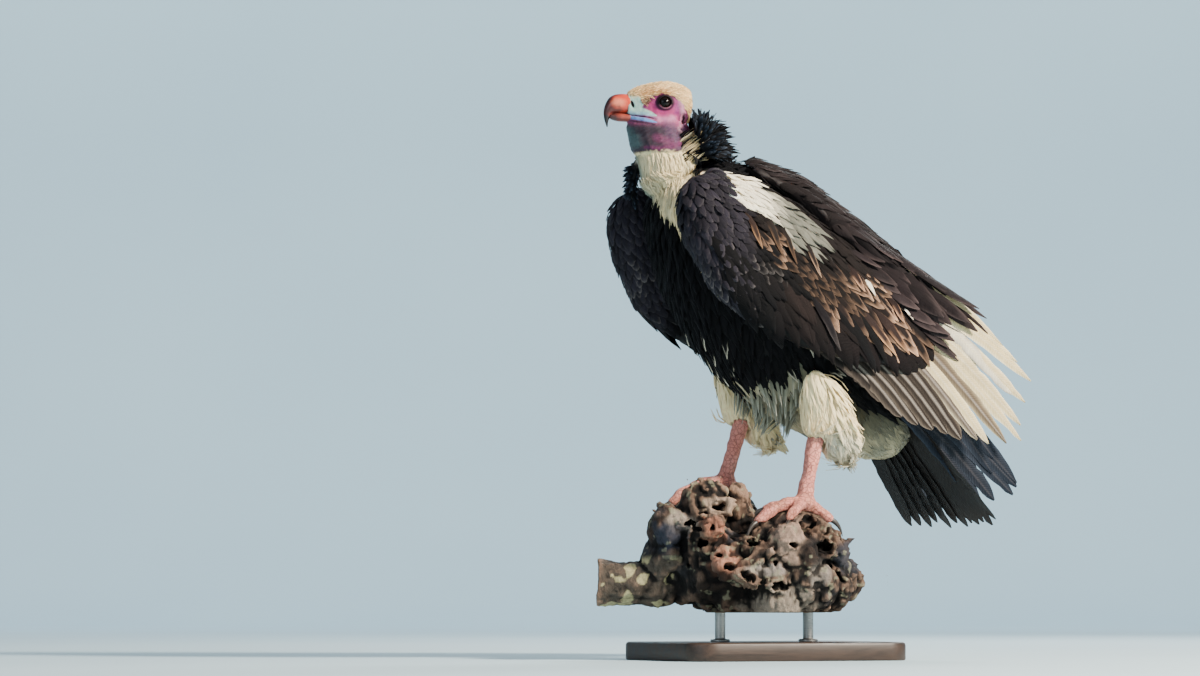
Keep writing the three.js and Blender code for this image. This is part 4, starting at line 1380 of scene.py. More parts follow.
# Each visible secondary: root and tip as (y, z), width, colours of the vane and of its edge, how pointed.
CREAM, GREY = ("cdb98c", "f3e6c4"), ("1e1815", "786c60")
SECONDARIES = [
    ((196, 500), (318, 420), 20, CREAM, 1.0), ((192, 492), (340, 398), 22, CREAM, 0.9),
    ((188, 486), (361, 373), 24, CREAM, 0.8), ((182, 480), (328, 354), 24, ("ddd4bf", "8a8580"), 0.3),
    ((176, 472), (349, 344), 25, CREAM, 0.7), ((170, 464), (339, 313), 26, CREAM, 0.6),
    ((164, 456), (338, 292), 26, CREAM, 0.8), ((158, 446), (314, 288), 27, ("5c4e40", "c4b592"), 0.7),
    ((150, 438), (285, 287), 24, CREAM, 0.5), ((140, 430), (267, 292), 24, ("4a403a", "ddcfae"), 0.5),
    ((128, 424), (241, 292), 29, GREY, 0.0), ((112, 416), (220, 299), 27, GREY, 0.0),
    ((98, 410), (197, 304), 28, GREY, 0.0), ((84, 404), (174, 310), 28, GREY, 0.1),
    ((66, 402), (150, 320), 28, ("1b1614", "6a5f55"), 0.1),
    ((50, 404), (128, 338), 27, ("181312", "5d534b"), 0.1),
    ((34, 408), (104, 358), 25, ("151110", "4d443f"), 0.1),
]
# Root and tip of some primaries, each as (y, z, y, z). All of them are spread along these.
PRIMARIES = [(150, 424, 312, 268), (156, 400, 336, 246), (162, 372, 354, 230), (168, 345, 338, 216),
             (176, 322, 300, 206)]
PRIMARY_COUNT = 7
# The planes of the folded feathers: distance out from the middle, and its change along Y and along Z.
SECONDARY_PLANE = (162, -0.09, -0.13)
PRIMARY_PLANE = (78, -0.11, 0.06)
TAIL_SLOPE = radians(52)
TAIL_ROOT = (140, 386)  # as (y, z)
TAIL_COUNT = 12
TAIL_SPREAD = (40, 94)  # how far out the outermost shaft is, at its root and at its tip
# Tail coverts above (1) and below (-1): how many, how far they spread as a share, least length and how much
# more, how much wider apart their tips are, where they start and how much nearer the tail their tips are.
TAIL_COVERTS = [(1, 14, 0.9, 105, 20, 60, -30, 3.5), (-1, 10, 0.85, 88, 24, 58, -20, 3.4)]
# Half widths of a blunt and of a sharp feather, each as (place from root to tip, share of the widest).
BLUNT = ((0, 0.2), (0.08, 0.45), (0.25, 0.82), (0.6, 1.0), (0.84, 0.97), (0.93, 0.8), (0.98, 0.5),
         (1.0, 0.16))
SHARP = ((0, 0.2), (0.08, 0.45), (0.25, 0.82), (0.5, 1.0), (0.72, 0.84), (0.86, 0.56), (0.96, 0.22),
         (1.0, 0.05))


class Plumes(Coat):
    """Large feathers, each with its own tile of the UV map."""

    def __init__(self, name, tiles, total):
        super().__init__(name)
        self.tiles, self.rows = tiles, np.ceil(total / tiles)
        self.made = 0

    def plume(self, rng, spine, normal, width, paint, shaft=0.5, wear=0.25, sharp=0.0):
        """One feather from its line of points. shaft is the share of its width to the left of the shaft."""
        line = catmull_rom(spine, PLUME_RINGS)
        t = np.linspace(0, 1, PLUME_RINGS)
        normal = level(normal, unit(np.gradient(line, axis=0)))
        outline = (np.interp(t, *zip(*BLUNT)) * (1 - sharp) + np.interp(t, *zip(*SHARP)) * sharp) * width
        sides = []
        for share in (shaft, 1 - shaft):
            edge = outline * share
            for _ in range(rng.integers(1, 4)):
                notch, depth = rng.uniform(0.3, 0.98), rng.uniform(0.1, 0.45) * wear * 2
                edge = edge * (1 - depth * np.exp(-((t - notch) / NOTCH_WIDTH) ** 2))
            sides.append(edge * (1 + 0.05 * rng.normal(0, 1, PLUME_RINGS)))
        left, right = sides
        vane = vane_rings(line[None], normal[None], left[None], right[None], WIDE, 0.10, PLUME_THICKNESS,
                          rng.normal(0, 0.05))
        ripple = 0.35 * (np.sin(t * 24 + rng.uniform(0, 6)) * (t > 0.3))[:, None] * WIDE**2
        vane[0] += normal[:, None] * ripple[..., None]
        lot = rng.random()
        half = np.where(WIDE < 0, left[:, None], right[:, None])
        length = np.linalg.norm(line[-1:] - line[:1], axis=1)
        row, column = divmod(self.made, self.tiles)
        patch = ((column + 0.5) / self.tiles, 0.42 / self.tiles, (row + 0.06) / self.rows, 0.88 / self.rows)
        self.add(vane, half, length, WIDE, np.array([lot]), paint(t, lot), line[:1], patch)
        self.made += 1

    def folded(self, rng, way, plane, places, width, paint, **style):
        """A flight feather of the folded wing, along places given as (y, z, height over the plane)."""
        normal = unit(np.array([way, -plane[1], -plane[2]]))
        self.plume(rng, on_plane(way, plane, *np.transpose(places)), normal, width, paint, **style)

    def map_places(self):
        """Nothing to add: the patches of large feathers are already places on the UV map."""
        return 0


def on_plane(way, plane, y, z, height):
    """Places at some height over a plane that stands along the wing."""
    out, along_y, along_z = plane
    return np.stack([way * (out + along_y * y + along_z * z + height), y, z], -1)


def flight_paint(base, edge, edge_share, shaft, tip=None):
    """A plain vane with paler or darker edges, a pale shaft and a soft tip."""

    def paint(t, lot):
        vane = np.empty((len(t), len(WIDE), 3))
        rim = edge_share * np.abs(WIDE) ** 3
        end = [(smooth_step(0.8, 1.0, t)[:, None], tip)] if tip else []
        middle = 0.7 * (np.abs(WIDE) < 0.01)
        tinted = linear(base) * (0.85 + 0.3 * lot)
        return np.clip(painted(vane, tinted, (rim, edge), *end, (middle, shaft)), 0, 1)

    return paint


def secondaries(side):
    """The cream inner fan over a stack of grey-brown outer feathers."""
    rng = np.random.default_rng(21)
    plumes = Plumes(f"secondaries_coat_{side}", 5, len(SECONDARIES))
    lifts = np.linspace(3.2, -3.2, len(SECONDARIES))
    for lift, (root, tip, width, (base, edge), sharp) in zip(lifts, SECONDARIES):
        hidden = root - 36 * unit(np.subtract(tip, root))
        middle = np.add(root, tip) / 2 + (2.5, 3)
        places = [(*hidden, lift - 5), (*root, lift), (*middle, lift + 0.8), (*tip, lift - 0.6)]
        paint = flight_paint(base, edge, 0.75, "cfc3a6" if base > "9" else "9b9187")
        plumes.folded(rng, WAYS[side], SECONDARY_PLANE, places, width, paint, shaft=0.45, wear=0.35,
                      sharp=sharp)
    return plumes


def primaries(side):
    """Long blue-black feathers below the secondaries."""
    rng = np.random.default_rng(23)
    plumes = Plumes(f"primaries_coat_{side}", 4, PRIMARY_COUNT)
    paint = flight_paint("1f232c", "47505e", 0.4, "3c3b40", tip="1c222c")
    for lift, ends in zip(np.linspace(2.6, -2.6, PRIMARY_COUNT), catmull_rom(PRIMARIES, PRIMARY_COUNT)):
        root, tip = ends[:2], ends[2:] + rng.normal(0, (4, 3))
        hidden, middle = root + (-8, 6), (root + tip) / 2 + (3, 4)
        places = [(*hidden, lift - 3), (*root, lift), (*middle, lift + 1), (*tip, lift)]
        plumes.folded(rng, WAYS[side], PRIMARY_PLANE, places, 27, paint, shaft=0.4, wear=0.3, sharp=0.35)
    return plumes


def tail_place(x, reach, height):
    """A place on the sloping tail, from its middle line, its root and its face."""
    y, z = TAIL_ROOT
    arched = height - abs(x) * 0.08
    return (x, y + cos(TAIL_SLOPE) * reach + sin(TAIL_SLOPE) * arched + x * 0.14,
            z - sin(TAIL_SLOPE) * reach + cos(TAIL_SLOPE) * arched)


def tail():
    """Twelve broad feathers with worn tips, and shorter coverts over and under them."""
    rng = np.random.default_rng(25)
    plumes = Plumes("tail_coat", 8, TAIL_COUNT + sum(row[1] for row in TAIL_COVERTS))
    normal = np.array([0, sin(TAIL_SLOPE), cos(TAIL_SLOPE)])
    paint = flight_paint("130f0e", "221b18", 0.5, "251f1d", tip="2c231e")
    across_of = lambda i: 2 * i / (TAIL_COUNT - 1) - 1
    outermost_first = sorted(range(TAIL_COUNT), key=lambda i: -abs(across_of(i)))
    for layer, i in enumerate(outermost_first):
        across = across_of(i)
        reach = 264 - across**2 * 12 - (i % 2) * 6 + rng.normal(0, 2.5)
        height = -1.8 + 3.6 * layer / (TAIL_COUNT - 1)
        spine = [tail_place(across * np.interp(s, (0, 1), TAIL_SPREAD), reach * s, height)
                 for s in (0, 0.35, 0.7, 1.0)]
        plumes.plume(rng, spine, normal, 32, paint, wear=0.6, sharp=0.12)
    paint = flight_paint("211c1e", "2f2729", 0.4, "2c2628")
    for face, count, spread, least, more, apart, start, fall in TAIL_COVERTS:
        for k in range(count):
            across = 2 * spread * (k + 0.5) / count - spread
            length = least + more * rng.random()
            spine = [tail_place(across * (14 + apart * s), start + length * s, face * (7 - fall * s))
                     for s in (0, 0.5, 1.0)]
            plumes.plume(rng, spine, face * normal, 15, paint)
    return plumes


def on_wing(side, y, z):
    """The place on the wing's outer face at (y, z)."""
    column = np.linspace(172, 40, 89)
    line = np.stack([WAYS[side] * column, np.full(89, y), np.full(89, z)], -1)
    within = np.flatnonzero(body.sample(line) < 0)
    depth = column[within[0]] if len(within) else 90
    return np.array([WAYS[side] * depth, y, z])


# Along the wing: where the tips of the lowest row of large coverts lie, as (y, z).
GREATER_TIPS = [(-92, 436), (-58, 414), (-16, 400), (36, 390), (86, 384), (140, 382), (190, 377), (240, 388),
                (272, 408)]
# Rows of large coverts: how many, how far their tips lie above the lowest row's, length, width and tone.
COVERT_ROWS = [(21, 0, 92, 24, "120c0d"), (23, 28, 70, 21, "150f0f"), (26, 54, 60, 18, "191211"),
               (28, 78, 52, 16, "1a1312")]


def great_coverts(side):
    """Rows of broad feathers that cover the roots of the secondaries, many of them edged with buff."""
    coat = Coat(f"great_coverts_{side}")
    rng = np.random.default_rng(31)
    for count, above, length, width, tone in COVERT_ROWS:
        tips = catmull_rom(GREATER_TIPS, count) + rng.normal(0, 3.5, (count, 2))
        angle = np.radians(np.linspace(66, 38, count))
        along = np.stack([0 * angle, np.cos(angle), -np.sin(angle)], -1)
        roots = np.array([on_wing(side, *start) for start in tips - (length + above) * along[:, 1:]])
        base = lambda c: painted(c, tone, (smooth_step(-30, -70, c[:, 1]), BLACK))
        feathers(coat, roots, along, length, width, (-1, 3.4, 5.0),
                 coloured(base, edge=(BUFF, buff_edges), shade=0.4), profile=LANCE_TIP, u=EDGED, camber=0.14,
                 give=0.16, sway=0.1, roll=0.1, ragged=0.07, rng=rng)
    return coat


# Along the back: y, z and length of the long mantle feathers, and of those over the fan of the secondaries.
LONG_SCAPULARS = [(-50, 652, 44), (0, 640, 52), (45, 616, 60), (85, 590, 66), (120, 562, 72), (150, 538, 78),
                  (178, 516, 84), (200, 498, 92), (216, 486, 98)]
OUTER_SCAPULARS = [(60, 584, 66), (110, 555, 80), (150, 532, 92), (182, 510, 104), (200, 500, 108)]
# Their rows, from the back outwards: distance from the middle, change of z and change of y.
LONG_ROWS = [(44, 0, 0), (62, -14, -8), (78, -30, -16), (94, -46, -26)]
# The outer ones' rows: height over the plane of the secondaries and change of z.
OUTER_ROWS = [(7, 4), (9, -8), (11, -20)]


def long_scapulars():
    """Long straight mantle feathers with pointed tips, off the back and over the wing's upper edge."""
    coat = Coat("long_scapulars")
    count = 26
    style = {"profile": LANCE_TIP, "u": EDGED, "droop": 0.03}
    painter = lambda base: coloured(base, edge=("5a4c4b", 0.55), shade=0.35)
    for way in WAYS.values():
        y, z, length = catmull_rom(LONG_SCAPULARS, count).T
        for row, (x, drop, back) in enumerate(LONG_ROWS):
            places = np.stack([np.full(count, way * x), y + back, z + drop], -1)
            for _ in range(6):
                places = places - body.slope(places) * np.clip(body.sample(places), -8, 8)[:, None]
            tufts(coat, places, (-0.05 * way, 0.845, -0.53), 0.06, length * (1 - 0.06 * row), 19,
                  painter("211a1c"), drift=0.05, sink=-2.0, **style)
        y, z, length = catmull_rom(OUTER_SCAPULARS, count // 2).T
        for row, (rise, drop) in enumerate(OUTER_ROWS):
            places = on_plane(way, SECONDARY_PLANE, y - 9 * row, z + drop, rise)
            tufts(coat, places, (-0.03 * way, 0.85, -0.50 - 0.06 * row), 0, length * (1 - 0.16 * row), 19,
                  painter("1c1517"), drift=0.04, sink=0.0, **style)
    return coat


# ---------------------------------------------------------------- bill, eyes, claws
def closed_rings(rings):
    """Points and triangles, turned outwards, of a solid given as (rings, corners, 3)."""
    points, faces = rings.reshape(-1, 3), tube_faces(*rings.shape[:2])
    a, b, c = (points[faces[:, k]] for k in range(3))
    return points, faces if np.sum(np.cross(b - a, c - a) * a) > 0 else faces[:, ::-1]


def loft(centres, tall, wide, sides, pinch=0.0):
    """A closed tube of elliptical rings. tall and wide are the half axes as vectors."""
    angle = np.linspace(0, 2 * pi, sides, endpoint=False)
    narrow = 1 - pinch * np.maximum(np.cos(angle), 0) ** 3
    return closed_rings(centres[:, None] + tall[:, None] * np.cos(angle)[:, None]
                        + wide[:, None] * (np.sin(angle) * narrow)[:, None])


# Sections of the bill's halves: forward and up of their top, the same of their foot, and half their width.
BILL_UPPER = [(40, 9.5, 40, -16, 12.8), (43, 9.3, 43, -16.5, 12.5), (51, 9.4, 50, -17, 11.4),
              (60, 7.8, 57, -17, 10), (67, 3, 61, -17.2, 8.2), (71.8, -6, 63.4, -19, 6.4),
              (73.6, -15, 65.4, -22.5, 4.4), (72.6, -25, 67.4, -28, 2.4), (69.4, -35, 68, -34.4, 0.7)]
BILL_LOWER = [(38, -16.6, 38, -27.6, 10.6), (43, -16.6, 43, -27.5, 10.6), (52, -16.4, 52, -27.2, 9.6),
              (59, -16.4, 58, -26.4, 8.0), (64.5, -17.2, 63.5, -24.6, 5.4), (67.2, -19.6, 66.6, -22.4, 2.0)]


def bill_part(name, sections, node, pinch, paint):
    """One half of the bill, lofted through its sections."""
    top_forward, top_up, low_forward, low_up, half = catmull_rom(sections, 44).T
    top, low = head_place(top_forward, 0, top_up), head_place(low_forward, 0, low_up)
    points, faces = loft((top + low) / 2, (top - low) / 2, SIDEWAYS * half[:, None], 36, pinch)
    piece = make_object(name, points, faces, BILL, sharp=70)
    set_colours(piece, paint(points))
    place_piece(piece, "bill", node)


def upper_bill_colour(points):
    """Worn red, with a painted highlight on the side, dark along the ridge and the seam, and black towards
    the hook.
    """
    forward, side, up = head_coordinates(points)
    worn = 0.5 + 0.5 * rough_noise(points, 9, 3, 91)
    # painted highlight: cheek is a pale pool of light on the side of the bill
    cheek = smooth_step(1.3, 0.4, np.hypot((forward - 56) / 11, (up + 3) / 6))
    ridge = smooth_step(7.0, 3.0, np.abs(side)) * smooth_step(44, 56, forward) * smooth_step(-14, -4, up)
    front = smooth_step(59, 66.5, forward + 0.12 * up + 1.2 * value_noise(points, 4, 95))
    smudge = np.hypot((forward - 59) / 11, (up + 13.5) / 5.5) + 0.5 * value_noise(points, 3, 92)
    base = smooth_step(45.5, 43, forward) * smooth_step(-4, -12, up)
    seam = smooth_step(-14.6, -16.4, up) * smooth_step(62, 58, forward)
    hook = smooth_step(-17.5, -22, up + 0.25 * (70 - forward)) * smooth_step(60, 64, forward)
    return painted(points, "c73a28", (0.6 * worn, "dc6444"), (0.5 * cheek, "f09a78"),
                   (0.85 * ridge, "5a2026"), (0.92 * front, "2e1118"),
                   (0.88 * smooth_step(1.4, 0.3, smudge), "34181a"), (0.5 * base, "8c4c48"),
                   (0.7 * seam, "6b2c28"), (hook, "141013"))


def lower_bill_colour(points):
    """Dull worn red, darker along the seam and at the tip."""
    forward, _, up = head_coordinates(points)
    worn = 0.5 + 0.5 * rough_noise(points, 7, 3, 93)
    tip = smooth_step(49, 61, forward + 2 * value_noise(points, 4, 94))
    return painted(points, "8f382c", (0.5 * worn, "b45c48"), (0.7 * smooth_step(-18.6, -16.8, up), "6b2c28"),
                   (0.85 * tip, "3a1f1e"))


def eyeball(side):
    """A ball with a dark brown iris round a black pupil, under a slightly raised cornea."""
    rings, sides = 40, 48
    centre = head_place(EYE["forward"], WAYS[side] * EYE["side"], EYE["up"])
    axis = unit(WAYS[side] * SIDEWAYS + 0.16 * FORWARD)
    first = unit(np.cross(axis, UPWARD))
    polar = np.linspace(0, pi, rings)
    bulge = EYE["radius"] - 0.15 + 0.35 * np.exp(-(polar / 0.55) ** 2)
    radius = np.maximum(np.sin(polar) * bulge, 0.02)[:, None]
    points, faces = loft(centre + axis * (np.cos(polar) * bulge)[:, None], first * radius,
                         np.cross(axis, first) * radius, sides)
    piece = make_object(f"eyeball_{side}", points, faces, EYE_GLASS)
    turn = np.repeat(polar, sides)
    spokes = 0.5 + 0.5 * np.sin(np.tile(np.linspace(0, 2 * pi, sides, endpoint=False), rings) * 23)
    set_colours(piece, painted(points, "120a08", (0.25 * spokes, "1e110b"),
                               (smooth_step(0.46, 0.40, turn), "060405"),
                               (smooth_step(0.80, 0.92, turn), "0f090a")))
    place_piece(piece, "eye", f"eye_{side}")


FEET = {"left": (61, 27), "right": (-60, -29)}  # as (x, y)
# Each toe: its turn outwards from straight ahead in degrees, length and radius.
TOES = [(8, 74, 7.2), (-30, 52, 6.8), (42, 56, 6.6), (172, 36, 7)]
# The smooth lumps of the knot under the feet: centre and three radii.
FOOT_LUMPS = [((52, 10, 122), (72, 84, 78)), ((-56, -46, 150), (70, 80, 80))]
CLAW_LENGTH = 24


def perch_top(x, y):
    """Height of the knot's smooth lumps, on which the toes lie."""
    heights = []
    for (lump_x, lump_y, lump_z), (radius_x, radius_y, radius_z) in FOOT_LUMPS:
        within = 1 - ((x - lump_x) / radius_x) ** 2 - ((y - lump_y) / radius_y) ** 2
        heights.append(lump_z + radius_z * np.sqrt(within) if within > 0 else 0)
    return max(heights)


def toe_end(side, toe):
    """Where a toe ends: its last point, the slope there, its direction and its radius."""
    turn, length, radius = toe
    direction = np.array([sin(radians(turn)) * WAYS[side], -cos(radians(turn))])
    line = []
    for t in (0.8, 1.0):
        x, y = FEET[side] + direction * length * t
        thick = radius * (1 - 0.32 * t) * (1 + 0.1 * cos(t * 5 * pi))
        line.append((x, y, perch_top(x, y) + thick * 0.8 + (1 - t) ** 3 * 4))
    before, end = np.array(line)
    slope = (end[2] - before[2]) / np.hypot(*(end - before)[:2])
    return end, slope, direction, thick


def claw(number, toe, side):
    """A curved, tapering claw that grows out of a toe's end."""
    end, slope, direction, radius = toe_end(side, toe)
    t = np.linspace(0, 1, 18)
    out = CLAW_LENGTH * (t - 0.35 * t * t) + radius * 0.4
    fall = slope * out * 0.7 + 5 * t - 17 * t * t
    line = end + np.stack([direction[0] * out, direction[1] * out, 1 + fall], -1)
    size = radius * np.interp(t, [0, 0.25, 0.5, 0.75, 1], [0.86, 0.78, 0.58, 0.36, 0.08])[:, None]
    tangent = unit(np.gradient(line, axis=0))
    across = unit(np.cross(tangent, UPWARD))
    points, faces = loft(line, np.cross(across, tangent) * size, across * size * 0.86, 20)
    place_piece(make_object(f"talon_{number}_{side}", points, faces, CLAW), "claw", f"claw_{number}_{side}")


# ---------------------------------------------------------------- perch
PERCH_BOX = ([-146, -262, 52], [150, 150, 262])
PERCH_VOXEL = 1.8
PERCH_CUT_Z = 62
STUMP_WAY = np.array([-0.46, -0.89, 0])
STUMP_END = np.array([-80, -206, 102])
STUMP_START = np.array([-20, -90, 100])
# Hollows on the knot's left face: distance along the face, height, radius of the hole, how much wider
# than tall it is, and the thickness of its raised rim.
HOLLOWS = [
    (-61, 200, 7, 1.2, 4.5), (-70, 174, 4, 1.3, 4.5), (-62, 136, 5, 0.8, 5), (-55, 122, 6, 1.2, 4),
    (8, 126, 4, 1.0, 4), (15, 97, 8, 3.0, 1.5), (-29, 110, 6, 2.0, 2), (33, 150, 4, 1.8, 1.5),
    (74, 147, 10, 1.5, 1.5), (52, 178, 13, 1.0, 0.8), (92, 112, 5, 0.8, 1.5), (-100, 180, 5, 2.0, 2),
    (-20, 152, 6, 1.6, 1.0), (-84, 152, 6, 1.6, 1.0),
]
# Limits of the same five values for the hollows of its other faces, which are drawn at random.
HOLLOW_LIMITS = ((-50, 50), (85, 180), (4, 9), (0.8, 2.4), (1, 4))
# Swellings of the same face: distance along it, height and radius.
BOULDERS = [(14, 76, 33), (26, 158, 20), (-69, 173, 13), (-57, 131, 16), (68, 110, 15), (112, 136, 14),
            (-63, 200, 13), (-112, 178, 12), (98, 96, 14), (50, 88, 13)]
# Patches of it: pale weathered ones, and near-black and blue-grey ones that are painted shadow. Each:
# distance along, height, half width, half height and colour.
WEATHERING_AND_SHADOWS = [(-69, 172, 17, 17, "a06a54"), (-57, 130, 18, 24, "a5745f"), (-63, 202, 25, 13, "a8907c"),
             (-114, 180, 20, 14, "93867a"), (26, 156, 25, 32, "9c8373"), (14, 70, 46, 30, "8a7d70"),
             (68, 110, 14, 20, "7d736b"), (-1, 118, 24, 9, "8a8079"), (112, 136, 22, 24, "33353d"),
             (-128, 160, 24, 22, "2e323e"), (-69, 94, 26, 28, "090606"), (60, 142, 20, 18, "120f10")]
# Short thorns and stubs: root and tip as (along the face, out of it, height), and the radius at the root.
THORNS = [((-128, 12, 182), (-150, 14, 200), 6), ((-134, 8, 172), (-154, 12, 182), 5),
          ((-118, 16, 190), (-131, 22, 206), 5), ((-98, -10, 196), (-104, -8, 213), 5),
          ((96, 20, 150), (118, 26, 160), 7), ((100, 10, 128), (122, 14, 126), 8),
          ((62, 44, 168), (72, 62, 184), 6), ((-20, 60, 190), (-26, 78, 206), 5)]


def first_wood(field, across, out, along, height):
    """Where a level line into the knot first meets the wood, or None."""
    ray = across * along + UPWARD * height + out * np.linspace(170, 0, 120)[:, None]
    hit = np.flatnonzero(field.sample(ray) < 0)
    return ray[hit[0]] if len(hit) else None


def add_boulder(field, points, along, height, radius):
    """A round swelling half sunk in the wood."""
    tip = first_wood(field, ACROSS, TOWARDS, along, height)
    if tip is not None:
        ball = np.linalg.norm(points - tip + TOWARDS * radius * 0.45, axis=-1) - radius
        field.value = soft_union(field.value, ball, 9, 2.2)


def carve_hollow(field, points, across, out, rng, along, height, hole, stretch, rim):
    """One hole with a raised rim, where a level line into the knot first meets the wood."""
    tip = first_wood(field, across, out, along, height)
    if tip is None:
        return
    reach = hole * max(stretch, 1) + rim + 22
    low = np.floor((tip - reach - field.low) / field.voxel).astype(int)
    high = np.ceil((tip + reach - field.low) / field.voxel).astype(int)
    box = tuple(slice(max(a, 0), max(b, 0)) for a, b in zip(low, high))
    axis = unit(out + rng.normal(0, 0.3, 3) + np.array([0, 0, 0.1]))
    wide = unit(across + rng.normal(0, 0.35) * UPWARD)
    offset = points[box] - tip
    depth = offset @ axis
    flat = offset - depth[..., None] * axis
    sideways = flat @ wide
    rest = np.linalg.norm(flat - sideways[..., None] * wide, axis=-1)
    angle = np.arctan2(flat[..., 2], sideways)
    wobble = 0.16 * np.sin(2 * angle + along) + 0.12 * np.sin(3 * angle + height) + 0.08 * np.sin(5 * angle)
    radial = np.hypot(sideways / stretch, rest) / (1 + wobble)
    ring = np.hypot(radial - hole - rim * 0.7, np.maximum(np.abs(depth + 5) - 6, 0)) - rim
    bore = np.maximum(radial - hole, -depth - 10 - 2.2 * hole)
    field.value[box] = np.maximum(soft_union(field.value[box], ring, 5), -bore)


def add_thorn(field, points, root, tip, radius):
    """A tapering stub joined to the wood."""
    root, tip = (ACROSS * a + TOWARDS * b + UPWARD * c for a, b, c in (root, tip))
    run = tip - root
    t = np.clip(((points - root) @ run) / (run @ run), 0, 1)
    stub = np.linalg.norm(points - root - t[..., None] * run, axis=-1) - radius * (1 - 0.8 * t)
    field.value = soft_union(field.value, stub, 6)


def roughen(field, points, depth, layers, sunk, calm_feet, calm_stump):
    """Ridges on the wood within a depth of its face, lower under the feet and on the stump."""
    near = np.abs(field.value) < depth
    shell = points[near]
    feet = np.minimum(*(np.hypot(shell[:, 0] - x, shell[:, 1] - y) for x, y in FEET.values()))
    full = smooth_step(26, 60, feet + 40 * (shell[:, 2] < 165))
    stump = smooth_step(-125, -150, shell[:, 1])
    ridges = sum(np.abs(value_noise(shell, size, salt)) * height for size, salt, height in layers) - sunk
    field.value[near] -= (1 - calm_feet * (1 - full)) * ridges * (1 - calm_stump * stump)


def knot_field():
    """Gnarled wood: billowing lumps, rimmed hollows, thorns and a broken branch stump."""
    field = Field(*PERCH_BOX, PERCH_VOXEL, band=14)
    field.value = field.distance_to(*node_mesh("perch"))
    points = field.lattice()
    rng = np.random.default_rng(51)
    roughen(field, points, 14, [(36, 101, 17), (16, 102, 9)], 11.8, 0.90, 0.75)
    for boulder in BOULDERS:
        add_boulder(field, points, *boulder)
    for hollow in HOLLOWS:
        carve_hollow(field, points, ACROSS, TOWARDS, rng, *hollow)
    for turn in np.linspace(0.9, 2 * pi - 0.9, 15):
        out = np.array([sin(CAMERA_AZIMUTH + turn), -cos(CAMERA_AZIMUTH + turn), 0])
        hollow = [rng.uniform(*limits) for limits in HOLLOW_LIMITS]
        if out @ STUMP_WAY < 0.25:
            carve_hollow(field, points, np.cross(UPWARD, out), out, rng, *hollow)
    for thorn in THORNS:
        add_thorn(field, points, *thorn)
    roughen(field, points, 8, [(7, 103, 3.6), (3.8, 104, 1.6)], 1.6, 0.85, 0.5)
    field.value = np.maximum(field.value, PERCH_CUT_Z + 0.4 - points[..., 2])
    field.value = np.maximum(field.value, (points - STUMP_END) @ unit(STUMP_END - STUMP_START) - 1.0)
    return field


def knot_colour(points, small, large):
    """Near-black hollows, which are painted shade, grey-brown lumps and warm rims. small and large say how
    hollow each place is.
    """
    warm = smooth_step(-0.2, 0.5, value_noise(points, 26, 111))
    cool = smooth_step(0.0, 0.5, value_noise(points, 40, 112))
    stump = smooth_step(-120, -140, points[:, 1]) * smooth_step(140, 126, points[:, 2])
    boss = 0.35 + 0.5 * smooth_step(0.1, 0.6, value_noise(points, 55, 115))
    front = smooth_step(-30, 0, points @ TOWARDS)
    fray = 0.35 * value_noise(points, 12, 116)
    patches = []
    # pale weathered patches, and near-black and blue-grey patches of painted shadow
    for along, height, half_width, half_height, code in WEATHERING_AND_SHADOWS:
        reach = np.hypot((points @ ACROSS - along) / half_width, (points[:, 2] - height) / half_height)
        patches.append((0.85 * smooth_step(1.2, 0.7, reach + fray) * front, code))
    lichen = smooth_step(0.22, 0.34, rough_noise(points, 15, 2, 113)) * stump
    dots = smooth_step(0.5, 0.6, rough_noise(points, 9, 2, 114)) * (1 - stump)
    cut = smooth_step(PERCH_CUT_Z + 1.4, PERCH_CUT_Z + 0.7, points[:, 2])
    return painted(points, "211c1a", (0.6 * warm, "3d2c23"), (0.75 * cool, "35363c"),
                   (0.8 * stump, "534a41"), (boss * smooth_step(0.1, 0.7, -small), "9a7c68"),
                   (0.35 * smooth_step(0.3, 0.9, -large), "7d6658"), *patches,
                   # painted shade: the hollows darken to near-black, small ones and large ones
                   (0.9 * smooth_step(-0.1, 0.35, small), "0c0807"),
                   (0.9 * smooth_step(0.0, 0.45, large), "070505"),
                   (0.9 * lichen * smooth_step(0.4, 0, small), "b3aa80"),
                   (0.5 * dots * smooth_step(0.2, 0, small), "8d8a72"), (cut, "8f7351"))


def hollowness(field, points, blur, depth):
    """From -1 on lumps to 1 in hollows, by how far the wood lies under its blurred form."""
    smooth = coarser(field, 2)
    smooth.blur(blur)
    return np.clip(-smooth.sample(points) / depth, -1, 1)


def knot():
    """The knotted wood, painted by its hollows and lumps, with painted shade in the hollows."""
    field = knot_field()
    points, quads = field.surface()
    piece = make_object("knot", points, quads, WOOD)
    small, large = hollowness(field, points, 3, 3.0), hollowness(field, points, 12, 9.0)
    set_colours(piece, knot_colour(points, small, large))
    place_piece(piece, "perch_wood", "perch")


# ---------------------------------------------------------------- stand
BOARD_SIZE = np.array([240, 320])  # along X and Y
BOARD_TOP = 24
BOARD_CORNER = 36  # radius
# How far the board's outline is drawn in at each height, from its foot up.
BOARD_PROFILE = [(2.5, 0), (0.6, 0.6), (0, 2.5), (0, 20), (1.2, 22.8), (4.0, BOARD_TOP)]
RODS = {"front": (-8, -62), "rear": (12, 58)}
ROD_RADIUS = 7
# The ring at a rod's foot: radius at each height over the board.
FOOT_RING = [(0.1, 0), (12.5, 0), (13, 0.6), (13, 2.6), (12, 3.6), (7.6, 3.9), (ROD_RADIUS, 4.6)]


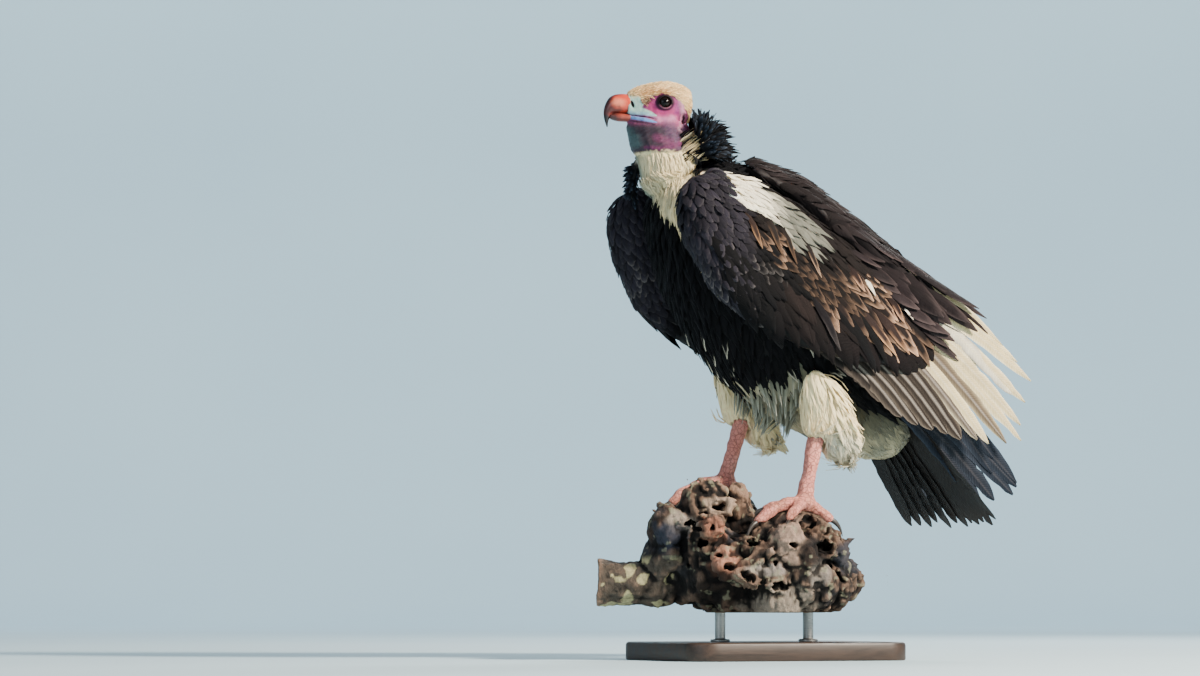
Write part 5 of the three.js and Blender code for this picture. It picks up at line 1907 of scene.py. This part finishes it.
def board():
    """The board, with round corners and softened edges."""
    quarters = [(1, -1), (1, 1), (-1, 1), (-1, -1)]
    middle = np.repeat(quarters, 14, axis=0) * (BOARD_SIZE / 2 - BOARD_CORNER)
    angle = np.ravel([np.linspace(start, start + pi / 2, 14) for start in (-pi / 2, 0, pi / 2, pi)])
    round_corner = np.stack([np.cos(angle), np.sin(angle)], -1)
    rings = [np.column_stack([middle + (BOARD_CORNER - inset) * round_corner, np.full(len(angle), height)])
             for inset, height in BOARD_PROFILE]
    points, faces = closed_rings(np.array(rings))
    place_piece(make_object("board", points, faces, BOARD, sharp=25), "stand_board", "stand_base")


def rod(name, x, y):
    """A steel rod with a chamfered foot ring on the board."""
    foot, top = BOARD_TOP + 0.05, PERCH_CUT_Z + 0.6
    profile = [(radius, foot + rise) for radius, rise in FOOT_RING] + [(ROD_RADIUS, top), (0.1, top)]
    centres = np.array([(x, y, height) for _, height in profile])
    radius = np.array([[radius] for radius, _ in profile])
    points, faces = loft(centres, radius * (1, 0, 0), radius * (0, 1, 0), 48)
    piece = make_object(f"rod_{name}", points, faces, STEEL, sharp=30)
    place_piece(piece, "stand_metal", f"stand_rod_{name}")


# ---------------------------------------------------------------- the whole model
add_camera()
add_backdrop()
light_room()

FEATHER = feather_material("feather", 2.2, 0.22, 0.03)
SOFT = feather_material("down", 1.6, 0.06, 0.3, 0.9)
FLIGHT = feather_material("flight_feather", 2.6, 0.16, 0.03, 0.62)
SKIN, BILL, CLAW, EYE_GLASS = skin_material(), bill_material(), claw_material(), eye_material()
WOOD, STEEL, BOARD = bark_material(), steel_material(), board_material()

points, faces, colours = skin_mesh()
skin = make_object("skin", points, faces, SKIN)
set_colours(skin, colours)
unwrap(skin)
place_piece(skin, "head_skin", "trunk", "neck", "head", *(
    f"{name}_{side}" for name in ("thigh", "scapulars", "tarsus", "foot") for side in PAIR))
SKIN_MAP = SkinMap(skin)

coat_of_scapulars().build(FEATHER, "feathers_brown")
long_scapulars().build(FEATHER, "feathers_brown")
coat_of_trunk().build(FEATHER, "feathers_black")
coat_of_ruff().build(FEATHER, "feathers_black", "ruff")
for coat_of in (coat_of_foreneck, coat_of_belly, coat_of_thighs, coat_of_cap):
    coat_of().build(SOFT, "feathers_white")
for side in PAIR:
    coat_of_wing(side).build(FEATHER, "feathers_brown", f"wing_coverts_{side}")
    great_coverts(side).build(FEATHER, "feathers_brown")
    secondaries(side).build(FLIGHT, "feathers_white", f"secondaries_{side}")
    primaries(side).build(FLIGHT, "feathers_black", f"primaries_{side}")
tail().build(FLIGHT, "feathers_black", "tail")

bill_part("bill_top", BILL_UPPER, "bill_upper", 0.3, upper_bill_colour)
bill_part("bill_bottom", BILL_LOWER, "bill_lower", 0.0, lower_bill_colour)
for side in PAIR:
    eyeball(side)
    for number, toe in enumerate(TOES, 1):
        claw(number, toe, side)
knot()
board()
for name, place in RODS.items():
    rod(name, *place)
